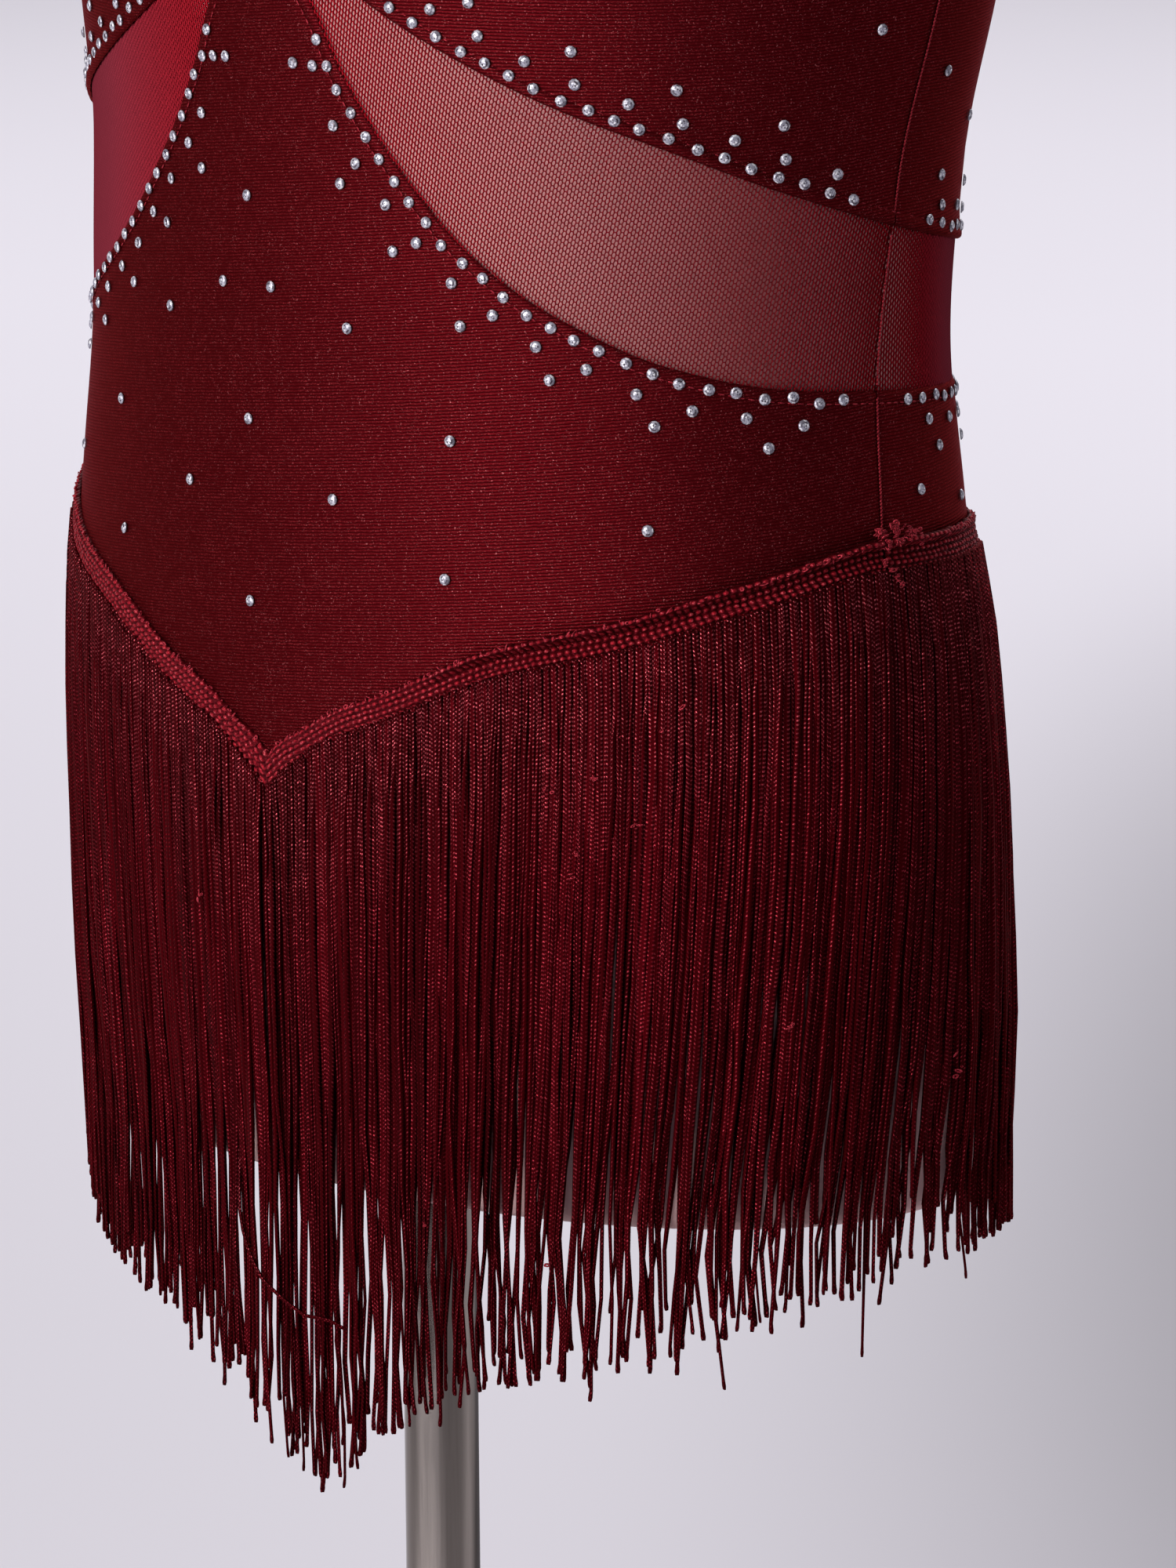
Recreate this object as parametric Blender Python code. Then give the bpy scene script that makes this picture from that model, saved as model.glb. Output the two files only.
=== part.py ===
"""Salsa dance dress on a limbless dress form with a floor stand.

Units are metres, +Z is up, the dress faces -Y and its wearer's left side is +X.
The origin lies on the floor, on the axis of the stand's pole.

The torso is one smooth skin, given by horizontal sections. A point of it is named
by its girth angle (0 at the centre front, 90 at the wearer's left side seam, 180 at
the centre back, negative on the wearer's right) and its height. Every sewn panel,
the fringe and the form itself are made from points of that skin, moved in or out.
"""

import math
from collections import namedtuple

import bmesh
import bpy
from mathutils import Vector

# ---------------------------------------------------------------- driving sizes

CLOTH = 0.0012            # thickness of a knit or net wall
FORM_EASE = 0.0008        # room between the form and the inside of the cloth
SEAM_GAP = 0.0003         # gap between two pieces that meet at a seam
LAY_GAP = 0.0003          # gap between a panel and what is sewn on its outside

FORM_BOTTOM = 0.700       # flat underside of the dress form
NECK_TOP = 1.330          # top of the form's neck
EDGE_ROUND = 0.005        # rounding of the form's bottom edge and neck cap
FORM_SIDES = 40           # points round each ring of the form
FORM_RING_STEP = 0.022    # largest height between two rings of the form

POLE_RADIUS = 0.0095
POLE_SIDES = 24
SOCKET_DEPTH = 0.060      # how far the pole goes up into the form
BASE_RADIUS = 0.180
BASE_THICK = 0.006
BASE_SIDES = 48
BOSS_RADIUS = 0.022       # foot of the boss that holds the pole
BOSS_HEIGHT = 0.036

STRAP_WIDTH = 0.012
STRAP_X = 0.085           # distance of each strap's middle from the centre line
STRAP_PIVOT = (0.045, 1.120)   # y and height that the strap's rays start from
STRAP_ROWS = 30

BAND_HEIGHT = 0.009       # woven heading of the fringe
BAND_THICK = 0.0015
BAND_OVER_HEM = 0.007     # how much of the panel's hem the heading covers
STRANDS_FRONT = 92
STRANDS_BACK = 90
STRAND_SHARE = 0.52       # a strand's share of its pitch, the rest is air
FRINGE_DROP = 0.178       # from the heading's top edge to the strands' ends
STRAND_BEND = 0.045       # first bend of a strand, below the heading
STRAND_FREE = 0.720       # height from which a strand hangs free
STRAND_LOOSE = 0.0006     # how much further out a strand hangs below the heading
END_WAVE = 0.0035         # unevenness of the strands' cut ends

Section = namedtuple("Section", "height half_width half_depth centre_y squareness")
SECTIONS = [
    Section(0.660, 0.1380, 0.0875, 0.0345, 2.00),
    Section(0.707, 0.1380, 0.0875, 0.0345, 2.00),
    Section(0.750, 0.1400, 0.0873, 0.0330, 2.00),
    Section(0.790, 0.1400, 0.0867, 0.0318, 2.00),
    Section(0.830, 0.1380, 0.0855, 0.0302, 2.00),
    Section(0.870, 0.1322, 0.0832, 0.0284, 2.00),
    Section(0.910, 0.1274, 0.0822, 0.0284, 2.00),
    Section(0.950, 0.1278, 0.0843, 0.0310, 2.00),
    Section(0.990, 0.1332, 0.0898, 0.0346, 2.00),
    Section(1.030, 0.1390, 0.0955, 0.0380, 2.00),
    Section(1.070, 0.1420, 0.0985, 0.0395, 2.00),
    Section(1.110, 0.1430, 0.0975, 0.0415, 2.05),
    Section(1.150, 0.1430, 0.0920, 0.0445, 2.15),
    Section(1.185, 0.1460, 0.0815, 0.0480, 2.30),
    Section(1.210, 0.1465, 0.0720, 0.0505, 2.40),
    Section(1.226, 0.1410, 0.0640, 0.0520, 2.45),
    Section(1.237, 0.1280, 0.0580, 0.0525, 2.40),
    Section(1.246, 0.1090, 0.0535, 0.0525, 2.25),
    Section(1.255, 0.0890, 0.0505, 0.0520, 2.10),
    Section(1.265, 0.0700, 0.0485, 0.0510, 2.00),
    Section(1.278, 0.0570, 0.0475, 0.0495, 2.00),
    Section(1.298, 0.0510, 0.0470, 0.0470, 2.00),
    Section(1.330, 0.0490, 0.0470, 0.0440, 2.00),
    Section(1.370, 0.0490, 0.0470, 0.0420, 2.00),
]

# Seam lines round the body, by girth angle. All are the same on both sides.
Mark = namedtuple("Mark", "girth height")
BODICE_TOP = [Mark(0, 1.138), Mark(14, 1.145), Mark(36, 1.172), Mark(60, 1.143),
              Mark(90, 1.118), Mark(120, 1.116), Mark(143, 1.122), Mark(165, 1.094),
              Mark(180, 1.086)]
UPPER_HEM = [Mark(0, 1.0130), Mark(5, 1.0075), Mark(15.5, 0.9912), Mark(27, 0.9785),
             Mark(38, 0.9690), Mark(52, 0.9598), Mark(69, 0.9495), Mark(90, 0.9400),
             Mark(112, 0.9335), Mark(135, 0.9290), Mark(180, 0.9260)]
LOWER_TOP = [Mark(0, 1.0125), Mark(3, 1.0050), Mark(7.4, 0.9915), Mark(11.5, 0.9745),
             Mark(18.5, 0.9545), Mark(29, 0.9335), Mark(39.5, 0.9210), Mark(55, 0.9095),
             Mark(72, 0.9038), Mark(90, 0.9018), Mark(115, 0.8990), Mark(180, 0.8940)]
FRINGE_LINE = [Mark(0, 0.8110), Mark(5, 0.8154), Mark(10, 0.8216), Mark(18.5, 0.8290),
               Mark(32.5, 0.8418), Mark(49, 0.8502), Mark(65, 0.8586), Mark(90, 0.8670),
               Mark(112, 0.8663), Mark(135, 0.8630), Mark(180, 0.8550)]

FRONT_COLUMNS = [3.0, 6.5, 11.0, 17.0, 24.0, 32.0, 41.0, 51.0, 61.0, 71.0, 81.0]
BACK_STEP = 9.0           # girth angle between two columns of a back panel
NET_TIP = 3.0             # girth angle at which a front net piece starts
SEAM_HALF_ANGLE = 0.12    # girth angle kept free on each side of a side seam

SEAM_AT_WAIST = 87.4      # true angle of the side seam at the waist
SEAM_LEAN = 60.0          # how it moves to the back, in degrees for a metre of height
WAIST_HEIGHT = 0.910
RIGHT_ANGLE = 90.0
HALF_TURN = 180.0

ANGLE_STEP = 0.5          # small steps for slopes and normals, in degrees and metres
HEIGHT_STEP = 0.0005
ACROSS_STEP = 0.001
RAY_STEP = 0.01
RAY_LENGTH = 0.25
HALVINGS = 40             # how often a search halves its range

WINE = (0.235, 0.010, 0.022, 1.0)
WINE_NET = (0.300, 0.030, 0.050, 1.0)
WINE_FRINGE = (0.250, 0.008, 0.022, 1.0)
LINEN = (0.640, 0.600, 0.570, 1.0)
STEEL = (0.560, 0.555, 0.540, 1.0)


# ---------------------------------------------------------------- the torso's skin

def smooth(rows, x, column):
    """Value of a column at x, on a curve through the rows that never overshoots.

    It leaves the first row along the first chord and comes level into the last one, so
    a seam line makes a point at the centre front and runs on across the centre back.
    """
    last = len(rows) - 2
    i = 0
    while i < last and x > rows[i + 1][0]:
        i += 1

    def slope_at(k):
        if k == len(rows) - 1:
            return 0.0
        if k == 0:
            return (rows[1][column] - rows[0][column]) / (rows[1][0] - rows[0][0])
        before = (rows[k][column] - rows[k - 1][column]) / (rows[k][0] - rows[k - 1][0])
        after = (rows[k + 1][column] - rows[k][column]) / (rows[k + 1][0] - rows[k][0])
        if before * after <= 0.0:
            return 0.0
        return 2.0 * before * after / (before + after)

    width = rows[i + 1][0] - rows[i][0]
    t = min(max((x - rows[i][0]) / width, 0.0), 1.0)
    start, end = rows[i][column], rows[i + 1][column]
    a, b = slope_at(i) * width, slope_at(i + 1) * width
    return (start * (2 * t ** 3 - 3 * t ** 2 + 1) + a * (t ** 3 - 2 * t ** 2 + t)
            + end * (3 * t ** 2 - 2 * t ** 3) + b * (t ** 3 - t ** 2))


def section_at(height):
    """Half width, half depth, centre y and squareness of the skin at a height."""
    return [smooth(SECTIONS, height, column) for column in range(1, 5)]


def skin(angle, height):
    """Point of the skin at a true angle round the torso, in degrees."""
    half_width, half_depth, centre_y, squareness = section_at(height)
    sine, cosine = math.sin(math.radians(angle)), math.cos(math.radians(angle))
    power = 2.0 / squareness
    x = half_width * math.copysign(abs(sine) ** power, sine)
    y = centre_y - half_depth * math.copysign(abs(cosine) ** power, cosine)
    return Vector((x, y, height))


def skin_out(angle, height, out):
    """Point of the skin moved out along its normal; inwards when out is negative."""
    along = skin(angle + ANGLE_STEP, height) - skin(angle - ANGLE_STEP, height)
    up = skin(angle, height + HEIGHT_STEP) - skin(angle, height - HEIGHT_STEP)
    return skin(angle, height) + along.cross(up).normalized() * out


def seam_angle(height):
    """True angle of the side seam, which leans to the back as it rises."""
    return SEAM_AT_WAIST + SEAM_LEAN * (height - WAIST_HEIGHT)


def true_angle(girth, height):
    """True angle for a girth angle, so that girth 90 always lies on the side seam."""
    seam = seam_angle(height)
    size = abs(girth)
    if size <= RIGHT_ANGLE:
        angle = size / RIGHT_ANGLE * seam
    else:
        angle = HALF_TURN - (HALF_TURN - size) / RIGHT_ANGLE * (HALF_TURN - seam)
    return math.copysign(angle, girth)


def cloth_point(girth, height, out):
    """Point of the dress at a girth angle and height, moved out from the skin."""
    return skin_out(true_angle(girth, height), height, out)


def line_height(marks, girth):
    """Height of a seam line at a girth angle."""
    size = abs(girth)
    if size > HALF_TURN:
        size = 2.0 * HALF_TURN - size
    return smooth(marks, size, 1)


def parted(marks, girth, side):
    """Height of a seam line, moved up or down so that half the seam gap is kept."""
    before, after = girth - ANGLE_STEP, girth + ANGLE_STEP
    height = line_height(marks, girth)
    rise = line_height(marks, after) - line_height(marks, before)
    run = (cloth_point(after, height, 0.0) - cloth_point(before, height, 0.0)).length
    return height + side * 0.5 * SEAM_GAP * math.hypot(1.0, rise / run)


# ---------------------------------------------------------------- building blocks

def material(name, colour, roughness, metallic=0.0):
    made = bpy.data.materials.new(name)
    made.use_nodes = True
    shader = made.node_tree.nodes["Principled BSDF"]
    shader.inputs["Base Color"].default_value = colour
    shader.inputs["Roughness"].default_value = roughness
    shader.inputs["Metallic"].default_value = metallic
    return made


def add_object(name, mesh_data, colour, roughness, metallic=0.0, crease=40.0):
    """Puts a finished bmesh into the scene with its own material."""
    bmesh.ops.recalc_face_normals(mesh_data, faces=mesh_data.faces)
    mesh = bpy.data.meshes.new(name)
    mesh_data.to_mesh(mesh)
    mesh_data.free()
    mesh.shade_smooth()
    mesh.set_sharp_from_angle(angle=math.radians(crease))
    thing = bpy.data.objects.new(name, mesh)
    mesh.materials.append(material(name + "_finish", colour, roughness, metallic))
    bpy.context.collection.objects.link(thing)
    return thing


def grid_wall(outer, inner):
    """Closed wall between two grids of points of the same size; returns a bmesh."""
    made = bmesh.new()
    rows, columns = len(outer), len(outer[0])
    front = [[made.verts.new(point) for point in row] for row in outer]
    back = [[made.verts.new(point) for point in row] for row in inner]
    for r in range(rows - 1):
        for c in range(columns - 1):
            made.faces.new((front[r][c], front[r][c + 1],
                            front[r + 1][c + 1], front[r + 1][c]))
            made.faces.new((back[r][c], back[r + 1][c],
                            back[r + 1][c + 1], back[r][c + 1]))
    for c in range(columns - 1):
        for r, (a, b) in ((0, (c + 1, c)), (rows - 1, (c, c + 1))):
            made.faces.new((front[r][a], front[r][b], back[r][b], back[r][a]))
    for r in range(rows - 1):
        for c, (a, b) in ((0, (r, r + 1)), (columns - 1, (r + 1, r))):
            made.faces.new((front[a][c], front[b][c], back[b][c], back[a][c]))
    return made


def panel(name, columns, rows, low, high, colour, roughness):
    """Sewn panel between two lines, each given as a function of the girth angle."""
    layers = []
    for out in (0.0, -CLOTH):
        grid = []
        for r in range(rows + 1):
            share = r / rows
            heights = [low(g) + (high(g) - low(g)) * share for g in columns]
            grid.append([cloth_point(g, z, out) for g, z in zip(columns, heights)])
        layers.append(grid)
    return add_object(name, grid_wall(*layers), colour, roughness)


def turned(profile, sides):
    """Closed solid turned about the pole's axis from (radius, height) pairs."""
    made = bmesh.new()
    rings = []
    for radius, height in profile:
        ring = []
        for k in range(sides):
            angle = 2.0 * math.pi * k / sides
            ring.append(made.verts.new((radius * math.cos(angle),
                                        radius * math.sin(angle), height)))
        rings.append(ring)
    join_rings(made, rings)
    return made


def join_rings(made, rings):
    """Skins a stack of rings that have the same number of points and caps both ends."""
    sides = len(rings[0])
    for low, high in zip(rings, rings[1:]):
        for k in range(sides):
            following = (k + 1) % sides
            made.faces.new((low[k], low[following], high[following], high[k]))
    made.faces.new(list(reversed(rings[0])))
    made.faces.new(rings[-1])


# ---------------------------------------------------------------- the dress

def front_columns():
    """Girth angles of a front panel's columns, from one side seam to the other."""
    half = FRONT_COLUMNS + [RIGHT_ANGLE - SEAM_HALF_ANGLE]
    return [-g for g in reversed(half)] + [0.0] + half


def back_columns():
    """Girth angles of a back panel's columns, from left to right side seam."""
    start = RIGHT_ANGLE + SEAM_HALF_ANGLE
    end = 3.0 * RIGHT_ANGLE - SEAM_HALF_ANGLE
    count = round((end - start) / BACK_STEP)
    return [wrapped(start + (end - start) * k / count) for k in range(count + 1)]


def wrapped(girth):
    """The same girth angle within -180 to 180."""
    return girth - 2.0 * HALF_TURN if girth > HALF_TURN else girth


def bodice_top(girth):
    return line_height(BODICE_TOP, girth)


def hem_of_upper(girth):
    return parted(UPPER_HEM, girth, 1)


def net_top(girth):
    return parted(UPPER_HEM, girth, -1)


def net_bottom(girth):
    return parted(LOWER_TOP, girth, 1)


def top_of_lower(girth):
    return parted(LOWER_TOP, girth, -1)


def hem_of_lower(girth):
    return line_height(FRINGE_LINE, girth) - BAND_OVER_HEM


def make_bodice():
    panel("upper_front", front_columns(), 6, hem_of_upper, bodice_top, WINE, 0.55)
    panel("upper_back", back_columns(), 6, hem_of_upper, bodice_top, WINE, 0.55)


def make_net_inserts():
    left = [g for g in front_columns() if g >= NET_TIP]
    right = [g for g in front_columns() if g <= -NET_TIP]
    panel("mesh_front_left", left, 2, net_bottom, net_top, WINE_NET, 0.6)
    panel("mesh_front_right", right, 2, net_bottom, net_top, WINE_NET, 0.6)
    panel("mesh_back", back_columns(), 2, net_bottom, net_top, WINE_NET, 0.6)


def make_lower_panels():
    panel("lower_front", front_columns(), 6, hem_of_lower, top_of_lower, WINE, 0.55)
    panel("lower_back", back_columns(), 2, hem_of_lower, top_of_lower, WINE, 0.55)


def inside_skin(point):
    """True when a point lies inside the torso's skin."""
    half_width, half_depth, centre_y, squareness = section_at(point.z)
    across = abs(point.x) / half_width
    deep = abs(point.y - centre_y) / half_depth
    return across ** squareness + deep ** squareness < 1.0


def ray_to_skin(x, angle):
    """Skin point in the upright plane at x, on a ray that turns from front to back."""
    pivot = Vector((x, STRAP_PIVOT[0], STRAP_PIVOT[1]))
    way = Vector((0.0, -math.cos(angle), math.sin(angle)))
    near, far = 0.0, RAY_LENGTH
    for _ in range(HALVINGS):
        middle = 0.5 * (near + far)
        if inside_skin(pivot + way * middle):
            near = middle
        else:
            far = middle
    return pivot + way * near


def strap_point(x, angle, out):
    """Point of a strap, moved out from the skin along its normal."""
    along = ray_to_skin(x, angle + RAY_STEP) - ray_to_skin(x, angle - RAY_STEP)
    across = ray_to_skin(x + ACROSS_STEP, angle) - ray_to_skin(x - ACROSS_STEP, angle)
    return ray_to_skin(x, angle) + across.cross(along).normalized() * out


def girth_of(point):
    """Girth angle of a skin point."""
    half_width, half_depth, centre_y, squareness = section_at(point.z)
    power = squareness / 2.0
    sine = (abs(point.x) / half_width) ** power
    deep = (centre_y - point.y) / half_depth
    cosine = math.copysign(abs(deep) ** power, deep)
    angle = math.degrees(math.atan2(sine, cosine))
    seam = seam_angle(point.z)
    if angle <= seam:
        return angle / seam * RIGHT_ANGLE
    return HALF_TURN - (HALF_TURN - angle) / (HALF_TURN - seam) * RIGHT_ANGLE


def strap_end(x, inner, outer):
    """Ray angle at which a strap meets the bodice's top edge, between two angles."""
    for _ in range(HALVINGS):
        middle = 0.5 * (inner + outer)
        point = ray_to_skin(x, middle)
        if point.z > bodice_top(girth_of(point)) + 2.0 * SEAM_GAP:
            inner = middle
        else:
            outer = middle
    return inner


def make_strap(name, side):
    """Shoulder strap from the top edge at the front to the top edge at the back."""
    over_shoulder = math.radians(90.0)
    lines = []
    for share in (-0.5, 0.0, 0.5):
        x = STRAP_X + STRAP_WIDTH * share
        front_end = strap_end(x, over_shoulder, 0.0)
        back_end = strap_end(x, over_shoulder, math.pi)
        turn = back_end - front_end
        lines.append([(x, front_end + turn * k / STRAP_ROWS)
                      for k in range(STRAP_ROWS + 1)])
    layers = []
    for out in (0.0, -CLOTH):
        grid = [[strap_point(x, angle, out) for x, angle in line] for line in lines]
        for row in grid:
            for point in row:
                point.x *= side
        layers.append(grid)
    return add_object(name, grid_wall(*layers), WINE, 0.55)


# ---------------------------------------------------------------- the fringe

def strand_levels(girth, top, number):
    """Heights at which a strand bends, from the heading down to its cut end."""
    uneven = END_WAVE * (math.sin(2.4 * number) + 0.6 * math.sin(5.3 * number + 1.0))
    end = line_height(FRINGE_LINE, girth) - FRINGE_DROP + uneven
    return [top - STRAND_BEND, STRAND_FREE, end]


def hanging_point(girth, height, out):
    """Point beside the form, or plumb below its bottom edge."""
    reference = max(height, FORM_BOTTOM)
    place = skin_out(true_angle(girth, reference), reference, out)
    return Vector((place.x, place.y, height))


def make_fringe(name, start, end, count):
    """Fringe of one panel: a heading sewn over the hem, with strands below it."""
    made = bmesh.new()
    pitch = (end - start) / (count - 1 + STRAND_SHARE)
    edges = []
    for number in range(count):
        left = start + pitch * number
        edges += [left, left + pitch * STRAND_SHARE]
    near, far = LAY_GAP, LAY_GAP + BAND_THICK
    corners = []
    for edge in edges:
        girth = wrapped(edge)
        top = line_height(FRINGE_LINE, girth)
        low = top - BAND_HEIGHT
        corners.append([made.verts.new(cloth_point(girth, z, out))
                        for z, out in ((low, near), (low, far), (top, far), (top, near))])
    for left, right in zip(corners, corners[1:]):
        for a, b in ((1, 2), (2, 3), (3, 0)):
            made.faces.new((left[a], right[a], right[b], left[b]))
    made.faces.new(corners[0])
    made.faces.new(list(reversed(corners[-1])))
    for column in range(0, len(corners) - 1, 2):
        add_strand(made, corners[column], corners[column + 1],
                   edges[column], edges[column + 1], column // 2)
        if column + 2 < len(corners):
            left, right = corners[column + 1], corners[column + 2]
            made.faces.new((left[0], right[0], right[1], left[1]))
    return add_object(name, made, WINE_FRINGE, 0.45)


def add_strand(made, left, right, left_edge, right_edge, number):
    """Four-sided strand that grows out of one face of the heading's underside."""
    ring = [left[0], right[0], right[1], left[1]]
    middle = wrapped(0.5 * (left_edge + right_edge))
    near = LAY_GAP + STRAND_LOOSE
    far = near + BAND_THICK
    girths = (wrapped(left_edge), wrapped(right_edge))
    places = ((girths[0], near), (girths[1], near), (girths[1], far), (girths[0], far))
    top = line_height(FRINGE_LINE, middle) - BAND_HEIGHT
    for height in strand_levels(middle, top, number):
        lower = [made.verts.new(hanging_point(girth, height, out))
                 for girth, out in places]
        for k in range(4):
            following = (k + 1) % 4
            made.faces.new((ring[k], ring[following], lower[following], lower[k]))
        ring = lower
    made.faces.new(ring)


def make_fringes():
    gap = SEAM_HALF_ANGLE
    make_fringe("fringe_front", -RIGHT_ANGLE + gap, RIGHT_ANGLE - gap, STRANDS_FRONT)
    make_fringe("fringe_back", RIGHT_ANGLE + gap, 3 * RIGHT_ANGLE - gap, STRANDS_BACK)


# ---------------------------------------------------------------- form and stand

def form_ring(made, height, shrink):
    """Ring of the form's surface, pulled in by shrink towards its middle."""
    inset = CLOTH + FORM_EASE + shrink
    return [made.verts.new(skin_out(360.0 * k / FORM_SIDES, height, -inset))
            for k in range(FORM_SIDES)]


def level_ring(made, ring, height):
    """Puts a ring's points at one height, so that its face is flat."""
    for vertex in ring:
        vertex.co.z = height
    return ring


def socket_ring(made, height):
    """Ring of the bore in the underside that takes the pole."""
    radius = POLE_RADIUS + SEAM_GAP
    ring = []
    for k in range(FORM_SIDES):
        angle = 2.0 * math.pi * k / FORM_SIDES
        place = (radius * math.sin(angle), -radius * math.cos(angle), height)
        ring.append(made.verts.new(place))
    return ring


def make_form():
    """Limbless torso: socket, flat underside, rounded edge, skin, neck."""
    made = bmesh.new()
    rings = [socket_ring(made, FORM_BOTTOM + SOCKET_DEPTH + SEAM_GAP),
             socket_ring(made, FORM_BOTTOM)]
    rings.append(level_ring(made, form_ring(made, FORM_BOTTOM, EDGE_ROUND), FORM_BOTTOM))
    heights = [FORM_BOTTOM + EDGE_ROUND]
    stops = [row.height for row in SECTIONS if heights[0] < row.height < NECK_TOP]
    for stop in stops + [NECK_TOP - EDGE_ROUND]:
        start = heights[-1]
        pieces = max(1, math.ceil((stop - start) / FORM_RING_STEP))
        heights += [start + (stop - start) * k / pieces for k in range(1, pieces + 1)]
    rings += [form_ring(made, height, 0.0) for height in heights]
    rings.append(level_ring(made, form_ring(made, NECK_TOP, EDGE_ROUND), NECK_TOP))
    join_rings(made, rings)
    return add_object("dress_form", made, LINEN, 0.7)


def make_stand():
    pole_foot = BASE_THICK + SEAM_GAP
    pole_head = FORM_BOTTOM + SOCKET_DEPTH
    pole = turned([(POLE_RADIUS, pole_foot), (POLE_RADIUS, pole_head)], POLE_SIDES)
    add_object("pole", pole, STEEL, 0.3, 1.0)
    bore = POLE_RADIUS + SEAM_GAP
    chamfer = 0.002
    collar = bore + 0.005
    profile = [(BASE_RADIUS - chamfer, 0.0),
               (BASE_RADIUS, chamfer),
               (BASE_RADIUS, BASE_THICK - chamfer),
               (BASE_RADIUS - chamfer, BASE_THICK),
               (BOSS_RADIUS + chamfer, BASE_THICK),
               (BOSS_RADIUS, BASE_THICK + chamfer),
               (collar, BOSS_HEIGHT - chamfer),
               (collar - chamfer, BOSS_HEIGHT),
               (bore, BOSS_HEIGHT),
               (bore, BASE_THICK)]
    add_object("base_plate", turned(profile, BASE_SIDES), STEEL, 0.35, 1.0, 25.0)


def main():
    for thing in list(bpy.data.objects):
        bpy.data.objects.remove(thing, do_unlink=True)
    make_bodice()
    make_net_inserts()
    make_lower_panels()
    make_strap("strap_left", 1.0)
    make_strap("strap_right", -1.0)
    make_fringes()
    make_form()
    make_stand()


main()
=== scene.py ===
"""Salsa dance dress on its limbless dress form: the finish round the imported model.

Metres, +Z up. The dress faces -Y and its wearer's left side is +X. A point of the
torso's skin is named by its girth angle (0 at the centre front, 90 at the wearer's left
side seam, 180 at the centre back, negative on the wearer's right) and its height.
"""

import math
from collections import namedtuple

import bpy
import numpy as np
from mathutils import Matrix, Vector


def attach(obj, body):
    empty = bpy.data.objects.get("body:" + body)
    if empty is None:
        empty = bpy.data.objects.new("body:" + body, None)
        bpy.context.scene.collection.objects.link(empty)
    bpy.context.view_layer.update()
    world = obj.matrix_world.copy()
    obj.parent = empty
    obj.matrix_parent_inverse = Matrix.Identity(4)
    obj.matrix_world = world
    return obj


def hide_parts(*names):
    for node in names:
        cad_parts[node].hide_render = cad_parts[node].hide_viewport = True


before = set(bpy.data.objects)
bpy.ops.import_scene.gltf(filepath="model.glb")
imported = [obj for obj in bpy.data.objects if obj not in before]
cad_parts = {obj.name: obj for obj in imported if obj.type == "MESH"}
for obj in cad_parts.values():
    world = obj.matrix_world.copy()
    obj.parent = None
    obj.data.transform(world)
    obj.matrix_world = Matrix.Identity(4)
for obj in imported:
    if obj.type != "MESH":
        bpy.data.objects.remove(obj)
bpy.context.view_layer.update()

MM = 0.001

# ---------------------------------------------------------------- the cut of the dress

CLOTH = 0.6 * MM          # thickness of the knit
NET_DEPTH = 0.28 * MM     # how far the net lies behind the knit's face
SEAM_GAP = 0.3 * MM
FORM_INSET = 2.0 * MM     # from the knit's face to the form's cover
FORM_BOTTOM = 0.700
NECK_TOP = 1.330
EDGE_ROUND = 5 * MM       # rounding of the form's bottom edge and neck cap
STRAP_WIDTH = 12 * MM
STRAP_X = 0.085           # distance of each strap's middle from the centre line
STRAP_PIVOT = (0.045, 1.120)
POLE_RADIUS = 9.5 * MM
SOCKET_DEPTH = 60 * MM
BASE_RADIUS = 180 * MM
BASE_THICK = 6 * MM
BOSS_RADIUS = 22 * MM
BOSS_HEIGHT = 36 * MM

FRINGE_DROP = 0.178       # from the heading's top edge to the strands' ends
BAND_WIDTH = 7.9 * MM     # width of the fringe's heading

Section = namedtuple("Section", "height half_width half_depth centre_y squareness")
SECTIONS = [
    Section(0.660, 0.1380, 0.0875, 0.0345, 2.00),
    Section(0.707, 0.1380, 0.0875, 0.0345, 2.00),
    Section(0.750, 0.1400, 0.0873, 0.0330, 2.00),
    Section(0.790, 0.1400, 0.0867, 0.0318, 2.00),
    Section(0.830, 0.1380, 0.0855, 0.0302, 2.00),
    Section(0.870, 0.1322, 0.0832, 0.0284, 2.00),
    Section(0.910, 0.1274, 0.0822, 0.0284, 2.00),
    Section(0.950, 0.1278, 0.0843, 0.0310, 2.00),
    Section(0.990, 0.1332, 0.0898, 0.0346, 2.00),
    Section(1.030, 0.1390, 0.0955, 0.0380, 2.00),
    Section(1.070, 0.1420, 0.0985, 0.0395, 2.00),
    Section(1.110, 0.1430, 0.0975, 0.0415, 2.05),
    Section(1.150, 0.1430, 0.0920, 0.0445, 2.15),
    Section(1.185, 0.1460, 0.0815, 0.0480, 2.30),
    Section(1.210, 0.1465, 0.0720, 0.0505, 2.40),
    Section(1.226, 0.1410, 0.0640, 0.0520, 2.45),
    Section(1.237, 0.1280, 0.0580, 0.0525, 2.40),
    Section(1.246, 0.1090, 0.0535, 0.0525, 2.25),
    Section(1.255, 0.0890, 0.0505, 0.0520, 2.10),
    Section(1.265, 0.0700, 0.0485, 0.0510, 2.00),
    Section(1.278, 0.0570, 0.0475, 0.0495, 2.00),
    Section(1.298, 0.0510, 0.0470, 0.0470, 2.00),
    Section(1.330, 0.0490, 0.0470, 0.0440, 2.00),
    Section(1.370, 0.0490, 0.0470, 0.0420, 2.00),
]

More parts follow.
